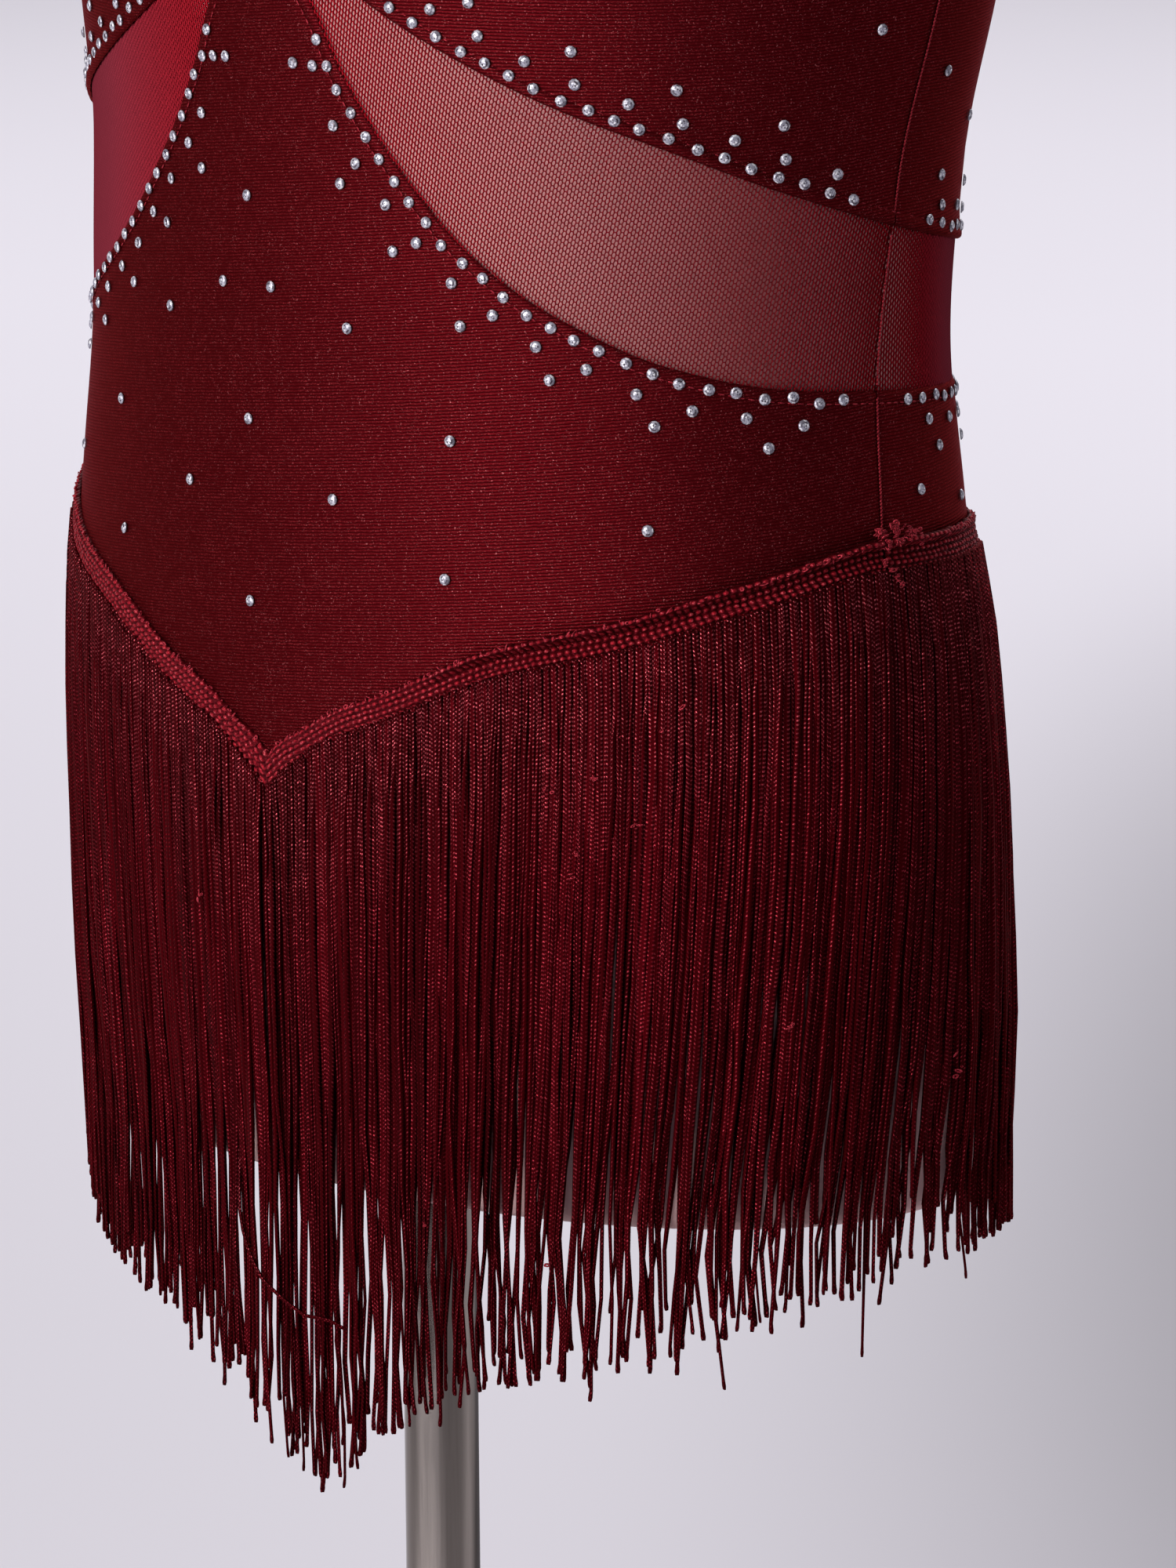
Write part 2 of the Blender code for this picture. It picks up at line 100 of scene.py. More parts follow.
# Seam lines round the body, by girth angle. All are the same on both sides.
Mark = namedtuple("Mark", "girth height")
BODICE_TOP = [Mark(0, 1.138), Mark(14, 1.145), Mark(36, 1.172), Mark(60, 1.143),
              Mark(90, 1.118), Mark(120, 1.116), Mark(143, 1.122), Mark(165, 1.094),
              Mark(180, 1.086)]
UPPER_HEM = [Mark(0, 1.0130), Mark(5, 1.0075), Mark(15.5, 0.9912), Mark(27, 0.9785),
             Mark(38, 0.9690), Mark(52, 0.9598), Mark(69, 0.9495), Mark(90, 0.9400),
             Mark(112, 0.9335), Mark(135, 0.9290), Mark(180, 0.9260)]
LOWER_TOP = [Mark(0, 1.0125), Mark(3, 1.0050), Mark(7.4, 0.9915), Mark(11.5, 0.9745),
             Mark(18.5, 0.9545), Mark(29, 0.9335), Mark(39.5, 0.9210), Mark(55, 0.9095),
             Mark(72, 0.9038), Mark(90, 0.9018), Mark(115, 0.8990), Mark(180, 0.8940)]
FRINGE_LINE = [Mark(0, 0.8084), Mark(3, 0.8134), Mark(5, 0.8154), Mark(10, 0.8216),
               Mark(18.5, 0.8290), Mark(32.5, 0.8418), Mark(49, 0.8502), Mark(65, 0.8586),
               Mark(90, 0.8670), Mark(112, 0.8663), Mark(135, 0.8630), Mark(180, 0.8550)]

SEAM_AT_WAIST = 87.4      # true angle of the side seam at the waist
SEAM_LEAN = 60.0          # how it moves to the back, in degrees for a metre of height
WAIST_HEIGHT = 0.910
RIGHT_ANGLE = 90.0
HALF_TURN = 180.0
FULL_TURN = 360.0
ANGLE_STEP = 0.5          # small steps for slopes and normals, in degrees and metres
HEIGHT_STEP = 0.5 * MM
CLOTH_PER_DEGREE = 2.04 * MM   # mean length of cloth in a degree of girth
WALK_SAMPLES = 1200       # points that a length along a seam line is measured through
CLOTH_SHADE = 50.0        # sharpest turn in degrees that is shaded smooth on cloth
NEARLY = 1e-9


# ---------------------------------------------------------------- the torso's skin

def smooth(rows, x, column):
    """Values of a column at x, on a curve through the rows that never overshoots."""
    knots = np.array([row[0] for row in rows], float)
    values = np.array([row[column] for row in rows], float)
    chord = np.diff(values) / np.diff(knots)
    slope = np.zeros(len(rows))
    slope[0] = chord[0]
    before, after = chord[:-1], chord[1:]
    same = before * after > 0.0
    total = np.where(same, before + after, 1.0)
    slope[1:-1] = np.where(same, 2.0 * before * after / total, 0.0)
    x = np.asarray(x, float)
    i = np.clip(np.searchsorted(knots, x) - 1, 0, len(rows) - 2)
    width = knots[i + 1] - knots[i]
    t = np.clip((x - knots[i]) / width, 0.0, 1.0)
    a, b = slope[i] * width, slope[i + 1] * width
    return (values[i] * (2 * t ** 3 - 3 * t ** 2 + 1) + a * (t ** 3 - 2 * t ** 2 + t)
            + values[i + 1] * (3 * t ** 2 - 2 * t ** 3) + b * (t ** 3 - t ** 2))


def section_at(height):
    """Half width, half depth, middle's Y and squareness of the torso at a height."""
    return (smooth(SECTIONS, height, column) for column in range(1, len(Section._fields)))


def skin(angle, height):
    """Points of the skin at true angles round the torso, in degrees."""
    half_width, half_depth, centre_y, squareness = section_at(height)
    sine, cosine = np.sin(np.radians(angle)), np.cos(np.radians(angle))
    power = 2.0 / squareness
    x = half_width * np.copysign(np.abs(sine) ** power, sine)
    y = centre_y - half_depth * np.copysign(np.abs(cosine) ** power, cosine)
    return np.stack([x, y, np.broadcast_to(height, x.shape)], -1)


def straight(rows, x, column):
    """Values of a column at x, on straight lines through the rows."""
    return np.interp(x, [row[0] for row in rows], [row[column] for row in rows])


def eased(value, start, end):
    """0 before start, 1 after end, and a smooth change between."""
    t = np.clip((np.asarray(value, float) - start) / (end - start), 0.0, 1.0)
    return t * t * (3.0 - 2.0 * t)


def unit(vectors):
    """The same vectors with a length of 1."""
    return vectors / np.linalg.norm(vectors, axis=-1, keepdims=True)


def skin_frame(angle, height):
    """Points of the skin, with unit vectors along the girth and straight out."""
    angle, height = np.broadcast_arrays(np.asarray(angle, float), height)
    along = skin(angle + ANGLE_STEP, height) - skin(angle - ANGLE_STEP, height)
    up = skin(angle, height + HEIGHT_STEP) - skin(angle, height - HEIGHT_STEP)
    return skin(angle, height), unit(along), unit(np.cross(along, up))


def true_angle(girth, height):
    """True angles for girth angles, so that girth 90 always lies on the side seam."""
    seam = SEAM_AT_WAIST + SEAM_LEAN * (np.asarray(height, float) - WAIST_HEIGHT)
    girth = np.asarray(girth, float)
    size = np.abs(girth)
    front = size / RIGHT_ANGLE * seam
    back = HALF_TURN - (HALF_TURN - size) / RIGHT_ANGLE * (HALF_TURN - seam)
    return np.copysign(np.where(size <= RIGHT_ANGLE, front, back), girth)


def wrapped(girth):
    """The same girth angles within -180 to 180."""
    return (np.asarray(girth, float) + HALF_TURN) % FULL_TURN - HALF_TURN


def cloth_frame(girth, height):
    """Points of the dress with unit vectors along the girth and straight out."""
    girth = wrapped(girth)
    return skin_frame(true_angle(girth, height), height)


def cloth_point(girth, height, out):
    """Points of the dress at girth angles and heights, moved out from the skin."""
    point, _, outward = cloth_frame(girth, height)
    return point + outward * np.asarray(out, float)[..., None]


def line_height(marks, girth):
    """Heights of a seam line at girth angles."""
    return smooth(marks, np.abs(wrapped(girth)), 1)


def line_steepness(marks, girth):
    """Rise of a seam line for each metre of cloth along the girth."""
    girth = np.asarray(girth, float)
    height = line_height(marks, girth)
    rise = line_height(marks, girth + ANGLE_STEP) - line_height(marks, girth - ANGLE_STEP)
    run = np.linalg.norm(cloth_point(girth + ANGLE_STEP, height, 0.0 * girth)
                         - cloth_point(girth - ANGLE_STEP, height, 0.0 * girth), axis=-1)
    return rise / run


def line_slant(marks, girth):
    """Upright distance for a distance of 1 square to a seam line."""
    return np.hypot(1.0, line_steepness(marks, girth))


def walk(marks, start, end, first, pitch):
    """Girth angles at an even pitch along a seam line, from start towards end."""
    girth = np.linspace(start, end, WALK_SAMPLES)
    points = cloth_point(girth, line_height(marks, girth), 0.0 * girth)
    steps = np.linalg.norm(np.diff(points, axis=0), axis=1)
    lengths = np.concatenate([[0.0], np.cumsum(steps)])
    return np.interp(np.arange(first, lengths[-1], pitch), lengths, girth)


# ---------------------------------------------------------------- modelling

Model = namedtuple("Model", "points corners starts round")


def set_aside_selection():
    bpy.ops.object.select_all(action="DESELECT")


def pick(thing):
    """Makes one thing the only one that operators work on."""
    set_aside_selection()
    bpy.context.view_layer.objects.active = thing
    thing.select_set(True)


def linked(name, data):
    """A new thing of the scene that shows a mesh, a lamp or a camera."""
    thing = bpy.data.objects.new(name, data)
    bpy.context.collection.objects.link(thing)
    return thing


def named(name):
    """Names the thing that an operator has just added."""
    thing = bpy.context.object
    thing.name = thing.data.name = name
    return thing


def points_of(thing):
    flat = np.empty(len(thing.data.vertices) * 3)
    thing.data.vertices.foreach_get("co", flat)
    return flat.reshape(-1, 3)


def set_points(thing, points):
    thing.data.vertices.foreach_set("co", np.ascontiguousarray(points, float).ravel())
    thing.data.update()


def corner_points(mesh):
    corners = np.empty(len(mesh.loops), np.int32)
    mesh.loops.foreach_get("vertex_index", corners)
    return corners


def set_uv(mesh, u, v):
    """Writes a UV map from values for each face corner."""
    layer = mesh.uv_layers[0] if mesh.uv_layers else mesh.uv_layers.new()
    layer.name = "cloth"
    layer.data.foreach_set("uv", np.stack([u, v], -1).astype(np.float32).ravel())


def modifier(thing, kind, **settings):
    """Adds a modifier and applies it."""
    pick(thing)
    added = thing.modifiers.new(kind.lower(), kind)
    for name, value in settings.items():
        setattr(added, name, value)
    bpy.ops.object.modifier_apply(modifier=added.name)


def shade(thing, degrees=CLOTH_SHADE):
    pick(thing)
    bpy.ops.object.shade_smooth_by_angle(angle=math.radians(degrees))


def grid(name, columns, rows):
    """Flat grid of faces, and the row and column number of each of its points."""
    set_aside_selection()
    bpy.ops.mesh.primitive_grid_add(x_subdivisions=columns, y_subdivisions=rows, size=1)
    thing = named(name)
    place = points_of(thing) + 0.5
    across = np.rint(place[:, 0] * columns).astype(int)
    up = np.rint(place[:, 1] * rows).astype(int)
    return thing, up, across


def laid_sheet(name, girths, heights, outs, rise):
    """Sheet of cloth on the skin, from tables with a row for each row of its points.

    rise is how far the ribs of the knit have climbed at each column."""
    rows, columns = heights.shape
    thing, r, c = grid(name, columns - 1, rows - 1)
    set_points(thing, cloth_point(girths[c], heights[r, c], outs[r, c]))
    corners = corner_points(thing.data)
    up = heights[r, c] - rise[c]
    set_uv(thing.data, (girths[c] * CLOTH_PER_DEGREE)[corners], up[corners])
    modifier(thing, "SOLIDIFY", thickness=CLOTH, offset=-1.0)
    shade(thing)
    return thing


def taken(thing):
    """Reads a modelled thing as a pattern for copies, and removes it."""
    mesh = thing.data
    starts = np.empty(len(mesh.polygons), np.int32)
    mesh.polygons.foreach_get("loop_start", starts)
    uv = np.zeros(len(mesh.loops) * 2, np.float32)
    if mesh.uv_layers:
        mesh.uv_layers[0].data.foreach_get("uv", uv)
    model = Model(points_of(thing), corner_points(mesh), starts, uv[::2].copy())
    bpy.data.objects.remove(thing)
    return model


def joined_copies(name, model, places, along=None):
    """One mesh of many copies. places holds each copy's points, along its lengths."""
    count, size = places.shape[0], len(model.points)
    mesh = bpy.data.meshes.new(name)
    mesh.vertices.add(count * size)
    mesh.vertices.foreach_set("co", np.ascontiguousarray(places, float).ravel())
    first = np.arange(count)[:, None]
    mesh.loops.add(count * len(model.corners))
    corners = (model.corners[None] + first * size).astype(np.int32).ravel()
    mesh.loops.foreach_set("vertex_index", corners)
    mesh.polygons.add(count * len(model.starts))
    starts = (model.starts[None] + first * len(model.corners)).astype(np.int32).ravel()
    mesh.polygons.foreach_set("loop_start", starts)
    mesh.update(calc_edges=True)
    v = along if along is not None else np.zeros(places.shape[:2])
    set_uv(mesh, np.tile(model.round, count), v.ravel()[corners])
    return linked(name, mesh)


def turned_copies(model, points, across, outward, along, scale):
    """Points of copies whose X, Y and Z lie on three given directions each."""
    local = model.points[None] * np.asarray(scale)
    return (points[:, None] + local[..., 0:1] * across[:, None]
            + local[..., 1:2] * along[:, None] + local[..., 2:3] * outward[:, None])


# ---------------------------------------------------------------- cloth lengths

REFERENCE_HEIGHT = 0.930
TABLE_GIRTHS = np.linspace(-110.0, 290.0, 2001)
TABLE_POINTS = cloth_point(TABLE_GIRTHS, REFERENCE_HEIGHT, 0.0 * TABLE_GIRTHS)
TABLE_STEPS = np.linalg.norm(np.diff(TABLE_POINTS, axis=0), axis=1)
TABLE_LENGTHS = np.concatenate([[0.0], np.cumsum(TABLE_STEPS)])
TABLE_LENGTHS -= np.interp(0.0, TABLE_GIRTHS, TABLE_LENGTHS)


def length_at(girth):
    """Length of cloth from the centre front to a girth angle, at the waist."""
    return np.interp(girth, TABLE_GIRTHS, TABLE_LENGTHS)


def girth_at(length):
    """Girth angle at a length of cloth from the centre front, at the waist."""
    return np.interp(length, TABLE_LENGTHS, TABLE_GIRTHS)


# ---------------------------------------------------------------- knit panels

SEAM_HALF_ANGLE = 0.12    # girth angle kept free on each side of a side seam
COLUMN_PITCH = 1.9 * MM
SEAM_COLUMNS = np.array([0.0, 0.3, 0.7, 1.2, 2.0, 3.2]) * MM
SEAM_DIP = 0.25 * MM      # how far a panel rolls into the side seam
SEAM_DIP_WIDTH = 0.9 * MM
PUCKER_DEPTH = 0.10 * MM
PUCKER_PITCH = 5.4 * MM
PUCKER_REACH = 4.0 * MM
FRONT_RIB_SLOPE = 0.105   # how much the knit's ribs climb along the front
BACK_RIB_SLOPE = 0.02
RIB_BEND = (75 * MM, 65 * MM)    # where they start to climb on the bodice, and for how long
UPPER_ROWS = 26           # rows of cloth between a panel's two edges
LOWER_ROWS = 20

# Turned edge of a panel: distance from the edge, and how far the face stands out, both
# in millimetres.
Fold = namedtuple("Fold", "distance out")
TURNED_EDGE = [Fold(0.0, -0.42), Fold(0.25, -0.20), Fold(0.7, 0.02), Fold(1.3, 0.14),
               Fold(1.9, 0.17), Fold(2.5, 0.11), Fold(2.9, 0.00), Fold(3.2, -0.10),
               Fold(3.6, -0.02), Fold(4.4, 0.05), Fold(6.0, 0.02), Fold(9.0, 0.0)]
PROUD_HEM = [Fold(0.0, 0.10), Fold(0.2, 0.60), Fold(0.6, 1.00), Fold(1.2, 1.12),
             Fold(1.9, 1.05), Fold(2.5, 0.85), Fold(2.9, 0.55), Fold(3.2, 0.38),
             Fold(3.6, 0.42), Fold(4.4, 0.36), Fold(6.5, 0.16), Fold(9.0, 0.0)]
COVERED_EDGE = [Fold(0.0, 0.0), Fold(4.0, 0.0)]
TOPSTITCH_INSET = 3.2 * MM


def panel_girths(start, end):
    """Girth angles of a panel's columns, closer together at its side seams."""
    middle = 0.5 * (start + end)
    low, high = length_at(start), length_at(end)
    count = int((high - low) / COLUMN_PITCH)
    inner = np.linspace(low + SEAM_COLUMNS[-1], high - SEAM_COLUMNS[-1], count)
    lengths = np.concatenate([low + SEAM_COLUMNS[:-1], inner, high - SEAM_COLUMNS[-2::-1]])
    girths = girth_at(lengths)
    return np.where(np.abs(girths - middle) < NEARLY, middle, girths)


def climbing(lengths, slope, start, reach):
    """Rise of ribs that turn upwards from start on each side of the centre line."""
    size = np.abs(lengths) - start
    bend = np.clip(size, 0.0, reach)
    return slope * (0.5 * bend ** 2 / reach + np.maximum(size - reach, 0.0))


def knit_panel(name, start, end, low, high, low_fold, high_fold, middle_rows):
    """Knit panel between two seam lines, each a (marks, drop) pair."""
    girths = panel_girths(start, end)
    rows = []
    for (marks, drop), folds, side in ((low, low_fold, 1.0), (high, high_fold, -1.0)):
        distance = np.array([fold.distance for fold in folds]) * MM
        out = np.array([fold.out for fold in folds]) * MM
        slant = line_slant(marks, girths)
        pucker = np.sin(2.0 * math.pi * length_at(girths) / PUCKER_PITCH)
        wave = PUCKER_DEPTH * np.exp(-distance / PUCKER_REACH)[:, None] * pucker[None]
        heights = (line_height(marks, girths) - drop)[None] \
            + side * (distance[:, None] * slant[None] + 0.5 * SEAM_GAP * slant[None])
        rows.append((heights, out[:, None] + wave))
    (low_heights, low_outs), (high_heights, high_outs) = rows
    share = np.arange(1, middle_rows)[:, None] / middle_rows
    between = low_heights[-1] + (high_heights[-1] - low_heights[-1]) * share
    heights = np.concatenate([low_heights, between, high_heights[::-1]])
    outs = np.concatenate([low_outs, 0.0 * between, high_outs[::-1]])
    lengths = length_at(girths)
    near = np.minimum(lengths - length_at(start), length_at(end) - lengths)
    outs = outs - SEAM_DIP * np.exp(-(near / SEAM_DIP_WIDTH) ** 2)
    if name == "knit_lower_front":
        rise = FRONT_RIB_SLOPE * lengths
    elif name == "knit_upper_front":
        rise = climbing(lengths, FRONT_RIB_SLOPE, *RIB_BEND)
    else:
        rise = BACK_RIB_SLOPE * lengths
    return laid_sheet(name, girths, heights, outs, rise)


FRONT = (-RIGHT_ANGLE + SEAM_HALF_ANGLE, RIGHT_ANGLE - SEAM_HALF_ANGLE)
BACK = (RIGHT_ANGLE + SEAM_HALF_ANGLE, 3.0 * RIGHT_ANGLE - SEAM_HALF_ANGLE)
BAND_OVER_HEM = 7 * MM


def make_panels():
    """The four knit panels, by the name of the node that each stands for."""
    panels = {}
    for side, (start, end) in (("front", FRONT), ("back", BACK)):
        panels["upper_" + side] = knit_panel(
            "knit_upper_" + side, start, end, (UPPER_HEM, 0.0), (BODICE_TOP, 0.0),
            PROUD_HEM, TURNED_EDGE, UPPER_ROWS)
        panels["lower_" + side] = knit_panel(
            "knit_lower_" + side, start, end, (FRINGE_LINE, BAND_OVER_HEM),
            (LOWER_TOP, 0.0), COVERED_EDGE, TURNED_EDGE, LOWER_ROWS)
    return panels


# ---------------------------------------------------------------- straps

STRAP_ROWS = 64
STRAP_COLUMNS = 8
STRAP_THICK = 1.0 * MM
STRAP_CROWN = 0.35 * MM
RAY_STEP = 0.01
RAY_LENGTH = 0.25
ACROSS_STEP = 1 * MM
HALVINGS = 40


def inside_skin(points):
    """True for points that lie inside the torso's skin."""
    half_width, half_depth, centre_y, squareness = section_at(points[..., 2])
    across = np.abs(points[..., 0]) / half_width
    deep = np.abs(points[..., 1] - centre_y) / half_depth
    return across ** squareness + deep ** squareness < 1.0


def ray_to_skin(x, angle):
    """Skin points in upright planes at x, on rays that turn from front to back."""
    x, angle = np.broadcast_arrays(x, angle)
    pivot = np.stack([x, 0.0 * x + STRAP_PIVOT[0], 0.0 * x + STRAP_PIVOT[1]], -1)
    way = np.stack([0.0 * x, -np.cos(angle), np.sin(angle)], -1)
    near, far = np.zeros(x.shape), np.full(x.shape, RAY_LENGTH)
    for _ in range(HALVINGS):
        middle = 0.5 * (near + far)
        inside = inside_skin(pivot + way * middle[..., None])
        near, far = np.where(inside, middle, near), np.where(inside, far, middle)
    return pivot + way * near[..., None]


def girth_of(points):
    """Girth angles of skin points on the wearer's left."""
    half_width, half_depth, centre_y, squareness = section_at(points[..., 2])
    power = squareness / 2.0
    sine = (np.abs(points[..., 0]) / half_width) ** power
    deep = (centre_y - points[..., 1]) / half_depth
    cosine = np.copysign(np.abs(deep) ** power, deep)
    angle = np.degrees(np.arctan2(sine, cosine))
    seam = SEAM_AT_WAIST + SEAM_LEAN * (points[..., 2] - WAIST_HEIGHT)
    back = HALF_TURN - (HALF_TURN - angle) / (HALF_TURN - seam) * RIGHT_ANGLE
    return np.where(angle <= seam, angle / seam * RIGHT_ANGLE, back)


def strap_end(x, inner, outer):
    """Ray angles at which a strap meets the bodice's top edge."""
    inner, outer = np.full(x.shape, inner), np.full(x.shape, outer)
    for _ in range(HALVINGS):
        middle = 0.5 * (inner + outer)
        point = ray_to_skin(x, middle)
        above = point[..., 2] > line_height(BODICE_TOP, girth_of(point)) + 2.0 * SEAM_GAP
        inner, outer = np.where(above, middle, inner), np.where(above, outer, middle)
    return inner


def make_strap(name, side):
    """Shoulder strap from the top edge at the front to the top edge at the back."""
    thing, up, across = grid(name, STRAP_COLUMNS, STRAP_ROWS)
    share = np.arange(STRAP_COLUMNS + 1) / STRAP_COLUMNS - 0.5
    x = STRAP_X + STRAP_WIDTH * share
    front_end = strap_end(x, 0.5 * math.pi, 0.0)
    back_end = strap_end(x, 0.5 * math.pi, math.pi)
    angle = front_end[across] + (back_end - front_end)[across] * up / STRAP_ROWS
    x = x[across]
    along = ray_to_skin(x, angle + RAY_STEP) - ray_to_skin(x, angle - RAY_STEP)
    aside = ray_to_skin(x + ACROSS_STEP, angle) - ray_to_skin(x - ACROSS_STEP, angle)
    crown = STRAP_CROWN * (1.0 - (2.0 * share[across]) ** 4) - STRAP_CROWN
    points = ray_to_skin(x, angle) + unit(np.cross(aside, along)) * crown[:, None]
    set_points(thing, points * (side, 1.0, 1.0))
    corners = corner_points(thing.data)
    length = np.cumsum(np.full(STRAP_ROWS + 1, RAY_LENGTH / STRAP_ROWS))
    set_uv(thing.data, (STRAP_WIDTH * share)[across][corners], length[up][corners])
    if side < 0.0:
        thing.data.flip_normals()
    modifier(thing, "SOLIDIFY", thickness=STRAP_THICK, offset=-1.0)
    shade(thing)
    return thing


# ---------------------------------------------------------------- net inserts

# A net's cell: its size, the lean of its columns, its hole's share of the cell across
# and up, and the depth of the threads.
Net = namedtuple("Net", "across up flat lean wide high thick")
FRONT_NET = Net(0.86 * MM, 1.32 * MM, 0.30 * MM, 0.14, 0.65, 0.77, 0.60 * MM)
BACK_NET = Net(0.90 * MM, 1.40 * MM, 0.31 * MM, 0.0, 0.62, 0.74, 0.45 * MM)
NET_TIP = 3.0             # girth angle at which a front net piece starts
NET_OVERLAP = 1.0 * MM    # how far the net runs on behind the knit's turned edges
NET_SPARE = 4 * MM        # how far cells are tried past the lowest and highest edge
SEAM_SHARE = 0.25         # of a cell's width, by which kept cells may pass a seam
EDGE_SAMPLES = 200


def net_corners(columns, rows, net):
    """Cells of a net of six-sided holes: their middles and the nodes at their corners.

    Each column of cells is moved up by half a cell from the last one. A cell owns two
    nodes, at its top right and top left, and shares the others with its neighbours.
    """
    i, j = np.meshgrid(np.arange(columns), np.arange(rows), indexing="ij")
    odd = i % 2
    side = np.where(odd == 0, j - 1, j)

    def node(column, row, left):
        return ((column + 1) * (rows + 2) + row + 1) * 2 + left

    corners = np.stack([node(i, j, 0), node(i, j, 1), node(i - 1, side, 0),
                        node(i, j - 1, 1), node(i, j - 1, 0), node(i + 1, side, 1)], -1)
    middles = np.stack([i * net.across, (j + 0.5 * odd) * net.up], -1)
    return middles.reshape(-1, 2), corners.reshape(-1, 6)


def cell_outline(net):
    """Corners of a cell about its middle, in the same order as net_corners."""
    wide, high = net.across - net.flat, 0.5 * net.up
    return np.array([(net.flat, high), (-net.flat, high), (-wide, 0.0),
                     (-net.flat, -high), (net.flat, -high), (wide, 0.0)])


def underside(corners, rims, nodes):
    """Faces behind the threads: one for each thread, and one at each crossing."""
    following = np.roll(corners, -1, axis=1)
    key = corners.astype(np.int64) * nodes + following
    mirrored = following.astype(np.int64) * nodes + corners
    order = np.argsort(key.ravel())
    found = np.searchsorted(key.ravel(), mirrored.ravel(), sorter=order)
    found = order[np.minimum(found, order.size - 1)]
    matched = key.ravel()[found] == mirrored.ravel()
    start, end = rims.ravel(), np.roll(rims, -1, axis=1).ravel()
    other_start, other_end = start[found], end[found]
    once = matched & (np.arange(start.size) < found)
    quads = np.stack([start, end, other_start, other_end], -1)[once]
    loose = ~matched
    edge = np.stack([start, end, following.ravel(), corners.ravel()], -1)[loose]
    after = np.full(int(rims.max()) + 1, -1)
    after[start[matched]] = other_end[matched]
    second = np.where(after >= 0, after[after], -1)
    third = np.where(second >= 0, after[second], -1)
    here = np.arange(after.size)
    ring = (third == here) & (here < after) & (here < second)
    whole = np.stack([here, after, second], -1)[ring]
    home = np.full(after.size, -1)
    home[rims.ravel()] = corners.ravel()
    led_to = np.zeros(after.size, bool)
    led_to[after[after >= 0]] = True
    open_end = (after >= 0) & ~led_to
    part = np.stack([here, after, home], -1)[open_end]
    return quads, edge, whole, part


def laid(flat, origin, lean):
    """Places on the cloth of points of a net's grid, with its columns at a lean."""
    place = flat + origin
    place[..., 0] += lean * flat[..., 1]
    return place


def net_cells(start, end, net):
    """A net's cells between its two edges, and where its grid starts and leans."""
    first, last = sorted((length_at(start), length_at(end)))
    girths = np.linspace(start, end, EDGE_SAMPLES)
    low = float(line_height(LOWER_TOP, girths).min()) - NET_SPARE
    high = float(line_height(UPPER_HEM, girths).max()) + NET_SPARE
    lean = math.copysign(net.lean, start + end)
    spare = abs(lean) * (high - low)
    columns = int((last - first + spare) / net.across) + 2
    middles, corners = net_corners(columns, int((high - low) / net.up) + 2, net)
    origin = np.array([first - (spare if lean > 0.0 else 0.0), low])
    place = laid(middles, origin, lean)
    girth, height = girth_at(place[:, 0]), place[:, 1]
    below = line_height(LOWER_TOP, girth) - NET_OVERLAP * line_slant(LOWER_TOP, girth)
    above = line_height(UPPER_HEM, girth) + NET_OVERLAP * line_slant(UPPER_HEM, girth)
    kept = ((height > below) & (height < above)
            & (place[:, 0] > first - SEAM_SHARE * net.across)
            & (place[:, 0] < last + SEAM_SHARE * net.across))
    return middles[kept], corners[kept], origin, lean


def make_net(name, start, end, net):
    """Net insert of real threads between the upper hem and the lower panel's edge."""
    middles, corners, origin, lean = net_cells(start, end, net)
    outline = cell_outline(net)
    flat_corners = middles[:, None] + outline
    flat_rims = middles[:, None] + outline * (net.wide, net.high)
    used, corners = np.unique(corners, return_inverse=True)
    corners = corners.reshape(-1, 6)
    nodes = np.zeros((used.size, 2))
    nodes[corners.ravel()] = flat_corners.reshape(-1, 2)
    rims = used.size + np.arange(corners.size).reshape(-1, 6)
    flat = laid(np.concatenate([nodes, flat_rims.reshape(-1, 2)]), origin, lean)
    out = np.full(len(flat), -NET_DEPTH)
    out[used.size:] -= net.thick
    points = cloth_point(girth_at(flat[:, 0]), flat[:, 1], out)
    next_corners, next_rims = np.roll(corners, -1, axis=1), np.roll(rims, -1, axis=1)
    face = np.stack([corners, next_corners, next_rims, rims], -1).reshape(-1, 4)
    quads, edge, whole, part = underside(corners, rims, used.size)
    faces = face.tolist() + quads.tolist() + edge.tolist() + whole.tolist() \
        + part.tolist()
    mesh = bpy.data.meshes.new(name)
    mesh.from_pydata(points.tolist(), [], faces)
    thing = linked(name, mesh)
    corner = corner_points(mesh)
    set_uv(mesh, flat[:, 0][corner], flat[:, 1][corner])
    mesh.shade_smooth()
    return thing


def make_nets():
    return {
        "mesh_front_left": make_net("net_front_left", NET_TIP, FRONT[1], FRONT_NET),
        "mesh_front_right": make_net("net_front_right", FRONT[0], -NET_TIP, FRONT_NET),
        "mesh_back": make_net("net_back", BACK[0], BACK[1], BACK_NET),
    }


# ---------------------------------------------------------------- stitches

STITCH_SIZE = (0.50 * MM, 1.15 * MM, 0.50 * MM)
SEAM_STITCH_PITCH = 0.84 * MM
SEAM_STITCH_LEAN = 0.55   # radians from the seam's run
SEAM_STITCH_OUT = 0.12 * MM
TOPSTITCH_PITCH = 2.4 * MM
TOPSTITCH_SIZE = (0.45 * MM, 1.7 * MM, 0.36 * MM)
TOPSTITCH_OUT = 0.10 * MM
HEM_STITCH_LEVEL = 0.2 * MM    # how much the bodice's hem lifts its stitches
RUN_STEP = 0.2            # girth angle between the points that give a line's direction
SEAM_END = 1.5 * MM       # distance of the first and last stitch from a panel's edge


def stitch_pattern():
    """One short length of thread, its run along Y."""
    set_aside_selection()
    bpy.ops.mesh.primitive_uv_sphere_add(segments=6, ring_count=4, radius=0.5)
    thing = named("stitch")
    thing.rotation_euler.x = 0.5 * math.pi
    bpy.ops.object.transform_apply(location=False, rotation=True, scale=False)
    thing.data.shade_smooth()
    return taken(thing)


